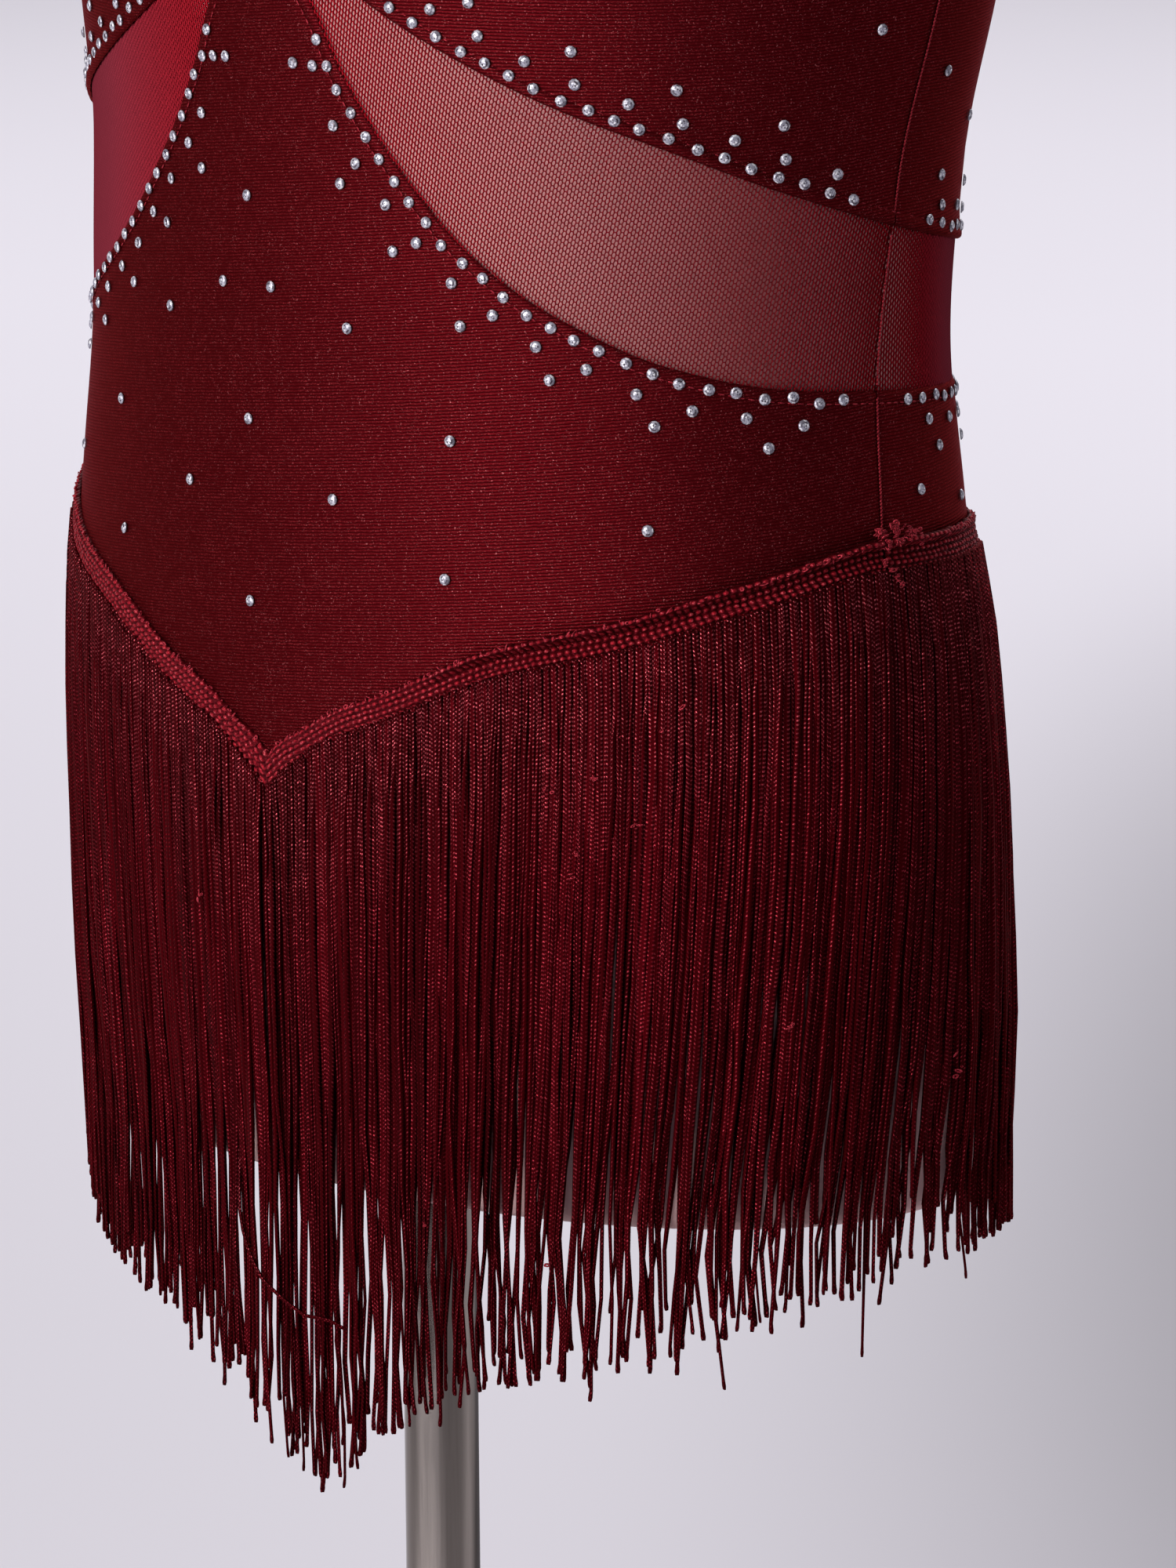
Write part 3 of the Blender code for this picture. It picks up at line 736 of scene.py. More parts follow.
def line_places(marks, girths, inset, out):
    """Points beside a seam line, with unit vectors along the line and straight out."""
    def beside(girth):
        height = line_height(marks, girth) + inset * line_slant(marks, girth)
        return cloth_point(girth, height, 0.0 * girth + out)

    points = beside(girths)
    along = unit(beside(girths + RUN_STEP) - beside(girths - RUN_STEP))
    _, _, outward = cloth_frame(girths, line_height(marks, girths))
    return points, along, outward


def smooth_copies(name, model, places, along=None):
    thing = joined_copies(name, model, places, along)
    thing.data.shade_smooth()
    return thing


def topstitch_places(model, marks, start, end, inset, level=0.0):
    """Stitches that run along a turned edge."""
    girths = walk(marks, start, end, 0.5 * TOPSTITCH_PITCH, TOPSTITCH_PITCH)
    points, along, outward = line_places(marks, girths, inset, TOPSTITCH_OUT + level)
    across = np.cross(along, outward)
    return turned_copies(model, points, across, outward, along, TOPSTITCH_SIZE)


def seam_stitch_places(model, girth, low, high):
    """Slanted stitches that close an upright seam."""
    heights = np.arange(low + SEAM_END, high - SEAM_END, SEAM_STITCH_PITCH)
    girths = np.full(heights.size, girth)
    points, along, outward = cloth_frame(girths, heights)
    upright = np.cross(outward, along)
    lean = math.copysign(SEAM_STITCH_LEAN, girth)
    run = upright * math.cos(lean) + along * math.sin(lean)
    across = np.cross(run, outward)
    points = points + outward * SEAM_STITCH_OUT
    return turned_copies(model, points, across, outward, run, STITCH_SIZE)


def make_stitching():
    """Stitches of every seam, by the name of the node that each set is sewn in."""
    model = stitch_pattern()
    found = {}
    for side, (start, end) in (("front", FRONT), ("back", BACK)):
        found["upper_" + side] = np.concatenate([
            topstitch_places(model, UPPER_HEM, start, end, TOPSTITCH_INSET,
                             HEM_STITCH_LEVEL),
            topstitch_places(model, BODICE_TOP, start, end, -TOPSTITCH_INSET)])
        found["lower_" + side] = topstitch_places(model, LOWER_TOP, start, end,
                                                  -TOPSTITCH_INSET)
    corners = [line_height(marks, RIGHT_ANGLE)
               for marks in (FRINGE_LINE, LOWER_TOP, UPPER_HEM, BODICE_TOP)]
    for girth in (RIGHT_ANGLE, -RIGHT_ANGLE):
        for node, low, high in zip(("lower_front", "mesh_back", "upper_front"),
                                   corners, corners[1:]):
            added = seam_stitch_places(model, girth, float(low), float(high))
            before = found.get(node)
            found[node] = added if before is None else np.concatenate([before, added])
    return {node: smooth_copies("stitches_" + node, model, places)
            for node, places in found.items()}


# ---------------------------------------------------------------- the fringe

STRANDS = 182             # in each of the two layers, on the front and on the back
CELL_ROWS = 6
CELL_STEPS = 3            # parts of a cell each way
CELL_ACROSS = (0.0, 0.24, 0.76)  # where its points lie
CELL_DOWN = (0.0, 0.26, 0.74)
CELL_RISE = 0.42 * MM
COLUMN_GROOVE = 0.66 * MM
ROW_GROOVE = 0.20 * MM
CELL_LEAN = 0.12          # of a column, to one side and the other by turns
HEADING_THICK = 0.5 * MM
FAN_REACH = 20 * MM       # where the heading's columns stand square to its edge again
FAN_LEAST = 0.22          # their share of that at the centre front
V_SLANT = 1.28            # least upright distance for 1 of the heading, at the V
V_REACH = (2 * MM, 14 * MM)
LOOP_SIZES = (0.55, 1.25)  # of the heading's cells
# Girth angles between which the heading rolls out on the wearer's left, lies down again
# at the back, and rolls out slightly on the right.
ROLL_LEFT = (16.0, 34.0)
ROLL_BACK = (96.0, 120.0)
ROLL_RIGHT = (40.0, 70.0)
SLIGHT_ROLL = 0.25
CELL_SWAY = 0.10 * MM
# The heading in millimetres: distance from its top edge, and how far it stands out from
# the skin there, both where it lies flat and where it has rolled out.
Profile = namedtuple("Profile", "distance flat rolled")
HEADING_PROFILE = [Profile(0.0, 0.1, 2.9), Profile(0.4, 0.6, 3.6), Profile(0.9, 1.0, 3.8),
                   Profile(1.35, 1.25, 3.4), Profile(1.8, 1.4, 1.2), Profile(2.4, 1.5, 0.2),
                   Profile(3.2, 1.5, 0.2), Profile(3.9, 1.5, 0.6), Profile(4.7, 1.5, 1.1),
                   Profile(6.0, 1.5, 1.4), Profile(7.9, 1.3, 1.3)]


def rolled_share(girths):
    """How far the heading's top edge has rolled out, from 0 to 1, round the body."""
    girths = np.asarray(girths, float)
    flattened = (1.0 - SLIGHT_ROLL) * eased(girths, *ROLL_BACK)
    left = eased(girths, *ROLL_LEFT) * (1.0 - flattened)
    right = SLIGHT_ROLL * eased(-girths, *ROLL_RIGHT)
    return np.clip(left + right, 0.0, 1.0)


def heading_columns(start, end):
    """Cloth lengths of a heading's strands along its top edge, and their pitch."""
    low, high = length_at(start), length_at(end)
    pitch = (high - low) / STRANDS
    return low + pitch * (np.arange(STRANDS) + 0.5), pitch


def heading_place(lengths, across):
    """Girth angles and heights at distances square to the heading's top edge."""
    girth = girth_at(lengths)
    slope = line_steepness(FRINGE_LINE, girth)
    near = np.abs(wrapped(girth)) * CLOTH_PER_DEGREE
    least = V_SLANT - (V_SLANT - 1.0) * eased(near, *V_REACH)
    slant = np.maximum(np.hypot(1.0, slope), least)
    distance = across * slant
    fan = FAN_LEAST + (1.0 - FAN_LEAST) * eased(near, 0.0, FAN_REACH)
    moved = girth_at(lengths + distance * slope / slant ** 2 * fan)
    return moved, line_height(FRINGE_LINE, moved) - distance


def make_heading(name, start, end, seed):
    """The fringe's heading: rows of raised loops, one column for each strand."""
    draw = np.random.default_rng(seed)
    columns = STRANDS * CELL_STEPS
    thing, down, across = grid(name, columns, CELL_ROWS * CELL_STEPS)
    low, high = length_at(start), length_at(end)
    in_column, in_row = across % CELL_STEPS, down % CELL_STEPS
    column = across // CELL_STEPS + np.array(CELL_ACROSS)[in_column]
    row = down // CELL_STEPS + np.array(CELL_DOWN)[in_row]
    cell = (np.minimum(across // CELL_STEPS, STRANDS - 1),
            np.minimum(down // CELL_STEPS, CELL_ROWS - 1))
    inner = (across > 0) & (across < columns)
    lean = CELL_LEAN * np.where(cell[1] % 2 == 0, 1.0, -1.0) * inner
    lengths = low + (high - low) * (column + lean) / STRANDS
    distance = BAND_WIDTH * row / CELL_ROWS
    girth, height = heading_place(lengths, distance)
    flat, rolled = (straight(HEADING_PROFILE, distance / MM, k) for k in (1, 2))
    level = (flat + (rolled - flat) * rolled_share(girth)) * MM
    size = draw.uniform(*LOOP_SIZES, (STRANDS, CELL_ROWS))[cell]
    out = level + np.where(in_column == 0, -COLUMN_GROOVE,
                           np.where(in_row == 0, -ROW_GROOVE, CELL_RISE * size))
    sway = draw.normal(0.0, CELL_SWAY, (STRANDS, CELL_ROWS))[cell]
    points = cloth_point(girth, height + sway, out)
    set_points(thing, points)
    corners = corner_points(thing.data)
    set_uv(thing.data, column[corners], row[corners])
    thing.data.flip_normals()
    modifier(thing, "SOLIDIFY", thickness=HEADING_THICK, offset=-1.0)
    thing.data.shade_smooth()
    return thing


LOOP_RADIUS = 0.46 * MM
LOOP_THREAD = 0.24 * MM
LOOP_OUT = (0.75 * MM, 2.9 * MM)    # from the skin, and how much more where it is rolled
LOOP_DROP = 0.3 * MM      # below the heading's top edge
LOOP_SPREAD = (0.2, 0.28 * MM, 0.2 * MM)    # of a pitch along the edge, upwards and out
LOOP_TURNS = ((0.5, 0.5), (0.2, 0.6), (0.0, 0.6))    # three turns' means and spreads
LOOP_SCALE = (0.5, 0.95)
LOOP_LONG = (1.0, 2.2)
LOOP_HIGH = (0.5, 1.1)
# Places where yarn is caught and stands out in small loops: girth angle, height in
# millimetres, distance out, spread, and how many loops.
Snag = namedtuple("Snag", "girth height out spread loops")
SNAGS = [Snag(-11.4, 769.0, 3.6, 0.8, 4), Snag(74.4, 753.5, 3.6, 0.8, 4),
         Snag(102.6, 737.5, 3.6, 1.2, 4), Snag(54.0, 824.5, 2.4, 0.9, 3),
         Snag(49.5, 821.0, 2.4, 0.9, 3), Snag(45.0, 819.0, 2.4, 0.8, 2),
         Snag(39.6, 814.0, 2.4, 0.8, 3), Snag(45.2, 813.5, 3.2, 0.7, 2),
         Snag(39.6, 809.5, 3.2, 0.8, 3), Snag(56.6, 830.0, 2.4, 0.7, 2),
         Snag(43.2, 793.5, 3.4, 0.6, 2), Snag(50.8, 802.0, 3.4, 0.6, 2),
         Snag(42.6, 788.0, 3.4, 0.6, 2), Snag(24.2, 698.0, 3.8, 0.6, 2),
         Snag(41.6, 692.0, 3.8, 0.6, 2)]
TUFT = [Snag(88.6, 868.6, 2.2, 0.9, 22), Snag(91.6, 869.2, 2.4, 1.0, 24),
        Snag(94.2, 868.0, 2.6, 0.8, 18), Snag(96.4, 866.4, 2.8, 0.6, 10),
        Snag(89.4, 866.0, 3.2, 0.6, 10), Snag(91.6, 866.6, 3.4, 0.6, 10),
        Snag(94.0, 866.8, 3.4, 0.5, 8), Snag(89.0, 861.6, 2.4, 0.4, 7),
        Snag(90.2, 860.0, 2.5, 0.4, 7), Snag(91.2, 858.2, 2.5, 0.4, 7),
        Snag(92.0, 856.6, 2.5, 0.35, 6)]


def loop_pattern():
    """One loop of yarn, in the plane of X and Y."""
    set_aside_selection()
    bpy.ops.mesh.primitive_torus_add(major_segments=8, minor_segments=4,
                                     major_radius=LOOP_RADIUS, minor_radius=LOOP_THREAD)
    thing = named("loop")
    thing.data.shade_smooth()
    return taken(thing)


def scattered(snags, draw):
    """Girth angles, heights and distances out of every loop of a list of snags."""
    found = []
    for snag in snags:
        shift = draw.normal(0.0, snag.spread, (snag.loops, 3)) * MM
        found.append(np.stack([snag.girth + shift[:, 0] / CLOTH_PER_DEGREE,
                               snag.height * MM + shift[:, 1],
                               snag.out * MM + 0.5 * shift[:, 2]], -1))
    return np.concatenate(found).T


def turned(first, second, angle):
    """A pair of square directions, turned in their own plane."""
    cosine, sine = np.cos(angle)[..., None], np.sin(angle)[..., None]
    return first * cosine + second * sine, second * cosine - first * sine


def make_loops(name, model, start, end, seed, snags):
    """Loops of yarn along the heading's top edge, and wherever the fringe is caught."""
    draw = np.random.default_rng(seed)
    lengths, pitch = heading_columns(start, end)
    along_spread, up_spread, out_spread = LOOP_SPREAD
    lengths = lengths + draw.normal(0.0, along_spread, STRANDS) * pitch
    girth, height = heading_place(lengths, LOOP_DROP)
    roll = rolled_share(girth)
    level = LOOP_OUT[0] + LOOP_OUT[1] * roll + draw.normal(0.0, out_spread, STRANDS)
    height = height + draw.normal(0.0, up_spread, STRANDS)
    rows = np.stack([girth, height, level])
    if snags:
        rows = np.concatenate([rows, scattered(snags, draw)], axis=1)
        roll = np.concatenate([roll, np.zeros(rows.shape[1] - STRANDS)])
    girth, height, level = rows
    count = girth.size
    point, along, outward = hanging_place(girth, height, level)
    upright = np.cross(outward, along)
    first, second, third = (draw.normal(*turn, count) for turn in LOOP_TURNS)
    along, upright = turned(along, upright, first)
    upright, outward = turned(upright, outward, second - roll)
    along, outward = turned(along, outward, third)
    scale = draw.uniform(*LOOP_SCALE, (count, 1, 1)) * np.ones(3)
    scale[..., 0] *= draw.uniform(*LOOP_LONG, (count, 1))
    scale[..., 1] *= draw.uniform(*LOOP_HIGH, (count, 1))
    return smooth_copies(name, model,
                         turned_copies(model, point, along, outward, upright, scale))


STRAND_SIDES = 8
STRAND_WELD = 1e-4        # of the pattern, which is a tube of radius 1
STRAND_SECTION = np.array([(0.80, 0.0), (0.54, 0.52), (0.0, 0.33), (-0.54, 0.52),
                           (-0.80, 0.0), (-0.54, -0.52), (0.0, -0.33), (0.54, -0.52)]) * MM
STRAND_STOPS = np.array([0.0, 0.02, 0.06, 0.12, 0.19, 0.27, 0.36, 0.46, 0.57, 0.68, 0.80,
                         0.91, 0.985, 0.995, 1.0])
STRAND_WIDTHS = np.array([1.02, 1.14, 1.18, 1.16, 1.12, 1.08, 1.05, 1.02, 1.00, 0.98, 0.95,
                          0.92, 0.90, 1.10, 0.85])
THIN_SHARE = 0.30         # how much thinner the strands hang below the form
THIN_LEVEL = FORM_BOTTOM + 15 * MM


def strand_pattern():
    """One strand of knitted yarn, its points numbered by their stop and their side."""
    thing, stop, side = grid("strand", STRAND_SIDES, len(STRAND_STOPS) - 1)
    turn = 2.0 * math.pi * side / STRAND_SIDES
    set_points(thing, np.stack([np.cos(turn), np.sin(turn), -1.0 * stop], -1))
    corners = corner_points(thing.data)
    set_uv(thing.data, (side / STRAND_SIDES)[corners], 0.0 * corners)
    thing.data.flip_normals()
    modifier(thing, "WELD", merge_threshold=STRAND_WELD)
    pick(thing)
    bpy.ops.object.mode_set(mode="EDIT")
    bpy.ops.mesh.select_all(action="SELECT")
    bpy.ops.mesh.fill_holes(sides=STRAND_SIDES)
    bpy.ops.mesh.normals_make_consistent(inside=True)
    bpy.ops.object.mode_set(mode="OBJECT")
    return taken(thing)


def hanging_place(girth, height, out):
    """Points beside the form, or plumb below its bottom edge, with their directions."""
    level = np.maximum(height, FORM_BOTTOM)
    point, along, outward = cloth_frame(girth, level)
    point = point + outward * out[..., None]
    point[..., 2] = height
    outward = outward.copy()
    outward[..., 2] = 0.0
    return point, along, unit(outward)


def clustered(count, draw):
    """Numbers for strands that hang together in small groups."""
    groups = np.repeat(np.arange(count), draw.integers(2, 6, count))[:count]
    middle = np.array([np.mean(np.flatnonzero(groups == group)) for group in groups])
    return groups, middle - np.arange(count)


# How much lower than their drop the strands end: girth angle and millimetres.
Ending = namedtuple("Ending", "girth lower")
ENDINGS = [Ending(-60.0, 0.0), Ending(-44.0, 2.8), Ending(-34.0, 2.5), Ending(-26.0, 0.0),
           Ending(-14.0, -4.2), Ending(-8.0, -4.0), Ending(-3.0, -2.2), Ending(1.0, 0.0),
           Ending(4.0, 7.0), Ending(8.0, 15.0), Ending(10.0, 15.5), Ending(14.0, 9.0),
           Ending(18.0, 6.0), Ending(24.0, 5.0), Ending(30.0, 7.0), Ending(40.0, 6.0),
           Ending(50.0, 8.5), Ending(60.0, 6.5), Ending(70.0, 7.5), Ending(75.0, 6.0),
           Ending(79.0, 1.5), Ending(96.0, 2.0), Ending(104.0, -3.0),
           Ending(120.0, -3.0), Ending(150.0, 0.0)]
PARTING = 0.6 * MM        # cloth length where the outer strands part, below the V
PARTING_WIDTH = 1.25 * MM
PARTING_BULGE = 1.1 * MM  # how far the strands beside the parting stand out
LONG_STRAND = 91.0        # girth angle of one strand that was left long
SPARE_LENGTH = 20 * MM
INNER_WIDTHS = 1.10 * np.array([1.0, 1.0, 1.04, 1.10, 1.16, 1.22, 1.26, 1.28, 1.26, 1.22,
                                1.15, 1.05, 1.0, 1.0, 1.0])
STRAND_OUT = (2.1 * MM, 1.15 * MM)    # middle of an outer and of an inner strand
STRAND_TUCK = 1.0 * MM    # how far the strands start above the heading's lower edge
LEAST_OUT = 0.75 * MM
UNDER_PARTING = 0.5 * MM  # the same for the inner strands behind the parting
INNER_SHORTER = 6.5 * MM
CUT_SPREAD = 1.7 * MM
CUT_WAVES = ((1.6 * MM, 0.31), (1.1 * MM, 0.083))    # size, and radians for a strand
LONGER_SHARE, LONGER = 0.06, (4.0, 9.0)    # single strands, and by how many millimetres
SHORTER_SHARE, SHORTER = 0.10, (3.0, 8.0)
INNER_CALM = 0.4          # sway of the inner strands for 1 of the outer ones
GROUP_SWAY = 0.4 * MM
# How far the strands of each layer move to the middle of their group, for 1 of the way:
# as they fall over the form, and once more below it.
GROUP_LEAN = (0.18, 0.08)
GROUP_FALL = (30 * MM, 140 * MM)
FREE_LEAN = (0.30, 0.18)
FREE_FALL = 30 * MM
INNER_FORWARD = (0.60 * MM, 0.25 * MM)    # of the inner strands, and more as they fall
FORWARD_FALL = (10 * MM, 40 * MM)
FORWARD_APART = (2 * MM, 6 * MM)    # but not within this distance of the parting
BULGE_REACH = 3.0 * MM    # how quickly the parting's effects fade along the hem
BULGE_FALL = (1 * MM, 12 * MM)
PARTING_REACH = 3.5 * MM
PARTING_FALL = (2 * MM, 14 * MM)
SEAM_CALM = (-3 * MM, 10 * MM)      # no sway at a side seam, and all of it from here on
SEAM_ROOM = 0.3           # of a pitch, kept free of strands at the second side seam
UNEVEN_PITCH = 0.07       # for 1 of a pitch
UNEVEN_SIZE = (0.90, 1.10)
THIN_FALL = 14 * MM       # stretch in which the strands grow thinner
SLIGHT_TURN = 0.35        # radians, for 1 of the drawn number
TURN_FALL = (2 * MM, 26 * MM)
TWIST = 5.0               # radians for a metre of fall below its start, for the same
TWIST_START = 20 * MM
SMOOTH_SHARE = 0.30       # of the strands, which show their smooth edge
SMOOTH_TURN = 1.2         # radians
LONGEST_RUN = 60          # whole metres added to the length map to tell strands apart

# Sway of a strand: the fall in millimetres where it starts and is whole, the size of its
# steady part and which number draws it, and its waves, each with a size in millimetres,
# radians for a metre of fall, and which number draws where it starts.
Sway = namedtuple("Sway", "start whole steady number waves")
ALL_SWAY = Sway(8, 150, 0.62, 0, ((0.60, 42.0, 0), (0.45, 88.0, 1), (0.22, 150.0, 2)))
END_SWAY = Sway(95, 160, 0.90, 2, ((0.80, 120.0, 1),))
TOP_SWAY = Sway(3, 16, 0.22, 3, ((0.20, 75.0, 3), (0.16, 170.0, 0)))
OUT_RIPPLE = Sway(8, 150, 0.0, 1, ((0.35, 60.0, 2),))
OUT_SWAY = Sway(8, 150, 0.60, 1, ((0.30, 37.0, 3),))
OUT_SPREAD = 0.12 * MM


def cut_ends(girth, layer, draw):
    """How much higher than their drop the strands of a layer end."""
    count = girth.size
    number = np.arange(count)
    higher = draw.normal(0.0, CUT_SPREAD, count)
    for (size, rate), start in zip(CUT_WAVES, (layer, 2.0)):
        higher += size * np.sin(rate * number + start)
    odd = draw.uniform(0.0, 1.0, count)
    higher -= np.where(odd < LONGER_SHARE, draw.uniform(*LONGER, count), 0.0) * MM
    higher += np.where(odd > 1.0 - SHORTER_SHARE, draw.uniform(*SHORTER, count), 0.0) * MM
    if layer == 1:
        higher += np.abs(draw.normal(0.0, INNER_SHORTER, count))
    lower = straight(ENDINGS, girth, 1) * MM
    left_long = (np.abs(girth - LONG_STRAND) < 0.5) * (1 - layer)
    return higher - lower - SPARE_LENGTH * left_long


def swayed(sway, fall, starts, swings):
    """How far the strands are moved by a sway, along their fall."""
    moved = sway.steady * swings[sway.number]
    for size, rate, start in sway.waves:
        moved = moved + size * np.sin(fall * rate + starts[start])
    return eased(fall, sway.start * MM, sway.whole * MM) * moved * MM


def drift(pull, fall, height, layer):
    """How far strands lean towards the middle of their group, for 1 of their pitch."""
    hanging = GROUP_LEAN[layer] * eased(fall, *GROUP_FALL)
    free = FREE_LEAN[layer] * eased(THIN_LEVEL - height, 0.0, FREE_FALL)
    return pull[:, None] * (hanging + free)


def distance_out(fall, from_parting, layer, starts, swings):
    """Distance of a layer's strands from the skin, along their fall."""
    apart = np.abs(from_parting)
    out = STRAND_OUT[layer] + swayed(OUT_RIPPLE, fall, starts, swings)
    if layer == 0:
        out = out + PARTING_BULGE * np.exp(-apart / BULGE_REACH) * eased(fall, *BULGE_FALL)
    else:
        forward = INNER_FORWARD[0] + INNER_FORWARD[1] * eased(fall, *FORWARD_FALL)
        out = out + forward * eased(apart, *FORWARD_APART)
        out = np.where(apart < FORWARD_APART[0], UNDER_PARTING, out)
    out = out + swayed(OUT_SWAY, fall, starts, swings) + OUT_SPREAD * swings[2]
    return np.maximum(out, LEAST_OUT)


def pattern_sides(model):
    """The stop and the side of each point of the strand's pattern."""
    turn = np.arctan2(model.points[:, 1], model.points[:, 0])
    side = np.rint(turn / (2.0 * math.pi) * STRAND_SIDES).astype(int) % STRAND_SIDES
    return np.rint(-model.points[:, 2]).astype(int), side


def make_strands(name, model, start, end, layer, seed):
    """One layer of strands, from the heading's lower edge down to their cut ends."""
    draw = np.random.default_rng(seed)
    lengths, pitch = heading_columns(start, end)
    lengths = lengths + 0.5 * pitch * layer
    lengths = lengths[lengths < length_at(end) - SEAM_ROOM * pitch]
    count = lengths.size
    lengths = lengths + draw.normal(0.0, UNEVEN_PITCH, count) * pitch
    girth, top = heading_place(lengths, BAND_WIDTH - STRAND_TUCK)
    if layer == 1:
        girth = girth_at(lengths)
    low = line_height(FRINGE_LINE, girth) - FRINGE_DROP + cut_ends(girth, layer, draw)
    height = top[:, None] + (low - top)[:, None] * STRAND_STOPS[None]
    fall = top[:, None] - height
    groups, pull = clustered(count, draw)
    starts = draw.uniform(0.0, 2.0 * math.pi, (4, count, 1))
    swings = draw.normal(0.0, 1.0, (4, count, 1))
    group_swings = draw.normal(0.0, GROUP_SWAY, count + 6)[groups][:, None]
    aside = swayed(ALL_SWAY, fall, starts, swings) \
        + group_swings * eased(fall, ALL_SWAY.start * MM, ALL_SWAY.whole * MM)
    aside *= INNER_CALM if layer == 1 else 1.0
    aside += swayed(END_SWAY, fall, starts, swings) + swayed(TOP_SWAY, fall, starts, swings)
    aside += drift(pull, fall, height, layer) * pitch
    beside_seam = np.minimum(lengths - lengths[0], lengths[-1] - lengths)
    aside *= eased(beside_seam, *SEAM_CALM)[:, None]
    from_parting = (lengths - PARTING)[:, None]
    if layer == 0:
        near = np.exp(-np.abs(from_parting) / PARTING_REACH)
        aside += PARTING_WIDTH * np.sign(from_parting) * near * eased(fall, *PARTING_FALL)
    out = distance_out(fall, from_parting, layer, starts, swings)
    place = girth_at(length_at(girth)[:, None] + aside)
    point, along, outward = hanging_place(place, height, out)
    edge_on = draw.uniform(0.0, 1.0, (count, 1)) > 1.0 - SMOOTH_SHARE
    twist = (SLIGHT_TURN * swings[2] + SMOOTH_TURN * edge_on) * eased(fall, *TURN_FALL) \
        + TWIST * swings[3] * np.maximum(fall - TWIST_START, 0.0)
    across, deep = turned(along, outward, twist)
    stop, side = pattern_sides(model)
    size = draw.uniform(*UNEVEN_SIZE, (count, 1)) * STRAND_WIDTHS[stop]
    if layer == 1:
        size *= INNER_WIDTHS[stop]
    size *= 1.0 - THIN_SHARE * eased(THIN_LEVEL - height[:, stop], 0.0, THIN_FALL)
    section = STRAND_SECTION[side][None] * size[..., None]
    places = (point[:, stop] + across[:, stop] * section[..., 0:1]
              + deep[:, stop] * section[..., 1:2])
    run = fall[:, stop] + draw.integers(0, LONGEST_RUN, (count, 1))
    return smooth_copies(name, model, places, run)


STRAY_THIN = 0.6          # its thickness for 1 of the others'
# The stray strand's course: girth angle, height, and distance out in millimetres.
STRAY = [(-6.6, 0.7060, 2.6), (-6.3, 0.6980, 3.6), (-6.0, 0.6915, 4.2),
         (-5.2, 0.6850, 4.4), (-4.0, 0.6800, 4.4), (-2.0, 0.6750, 4.4),
         (0.5, 0.6722, 4.4), (3.2, 0.6700, 4.4), (6.0, 0.6680, 4.4), (9.0, 0.6690, 4.2),
         (12.0, 0.6672, 4.0)]


def make_stray(model):
    """One strand that has swung across the others."""
    knots = np.array(STRAY)
    part = np.linspace(0.0, len(knots) - 1.0, len(STRAND_STOPS))
    girth, height, out = (np.interp(part, np.arange(len(knots)), row) for row in knots.T)
    point, _, outward = hanging_place(girth, height, out * MM)
    ahead = unit(np.gradient(point, axis=0))
    across = unit(np.cross(outward, ahead))
    deep = np.cross(ahead, across)
    stop, side = pattern_sides(model)
    section = STRAND_SECTION[side] * STRAY_THIN
    places = point[stop] + across[stop] * section[:, :1] + deep[stop] * section[:, 1:]
    reach = np.concatenate([[0.0], np.cumsum(np.linalg.norm(np.diff(point, axis=0),
                                                            axis=1))])
    return smooth_copies("stray_strand", model, places[None], reach[stop][None])


HEADING_SEED = 10         # the back takes the next number after the front's
LOOP_SEED = 20
OUTER_SEED = 30
INNER_SEED = 40


def make_fringes():
    """Every piece of the fringe, by the name of the node that it stands for."""
    strand, loop = strand_pattern(), loop_pattern()
    found = {}
    for turn, (side, (start, end)) in enumerate((("front", FRONT), ("back", BACK))):
        snags = [snag for snag in SNAGS + TUFT if start < snag.girth < end]
        found["fringe_" + side] = [
            make_heading("heading_" + side, start, end, HEADING_SEED + turn),
            make_loops("heading_loops_" + side, loop, start, end, LOOP_SEED + turn, snags),
            make_strands("strands_outer_" + side, strand, start, end, 0, OUTER_SEED + turn),
            make_strands("strands_inner_" + side, strand, start, end, 1, INNER_SEED + turn),
        ]
    found["fringe_front"].append(make_stray(strand))
    return found


# ---------------------------------------------------------------- crystals

STONE_RADIUS = 1.44 * MM
STONE_FACETS = 10
# Brightness of each facet: painted reflections, from dark to white.
GIRDLE_TONE = 0.35
CROWN_TONES = (0.95, 0.45, 0.70, 0.30, 0.85, 0.55, 1.00, 0.40, 0.60, 0.80)
STAR_TONES = (0.50, 0.22, 0.68, 0.30, 0.85, 0.28, 0.45, 0.15, 0.60, 0.32)
TABLE_TONES = (0.25, 0.74, 0.32, 0.55, 0.20, 0.92, 0.38, 0.66, 0.16, 0.50)
# Each ring of facets: the share of the radius past which its middles lie, and its painted
# reflection tones.
FACET_RINGS = ((0.90, (GIRDLE_TONE,) * STONE_FACETS), (0.72, CROWN_TONES),
               (0.45, STAR_TONES), (-1.0, TABLE_TONES))
STONE_THICK = 0.25 * MM
STONE_STEPS = ((0.36 * MM, 0.30 * MM), (0.42 * MM, 0.18 * MM))    # inwards and up
STONE_SEED = 5
STONE_OUT = 0.425 * MM    # height of a crystal's pattern over the cloth
STONE_SPIN = 6.28         # radians, how far a crystal may be turned on the cloth
STONE_TILT = 0.05
STONE_SCATTER = (0.12, 0.25 * MM)    # in girth angle and in height

# A row of crystals in millimetres: its first one's distance from the centre front, their
# pitch, and the row's distance from the edge.
Row = namedtuple("Row", "first pitch inset")
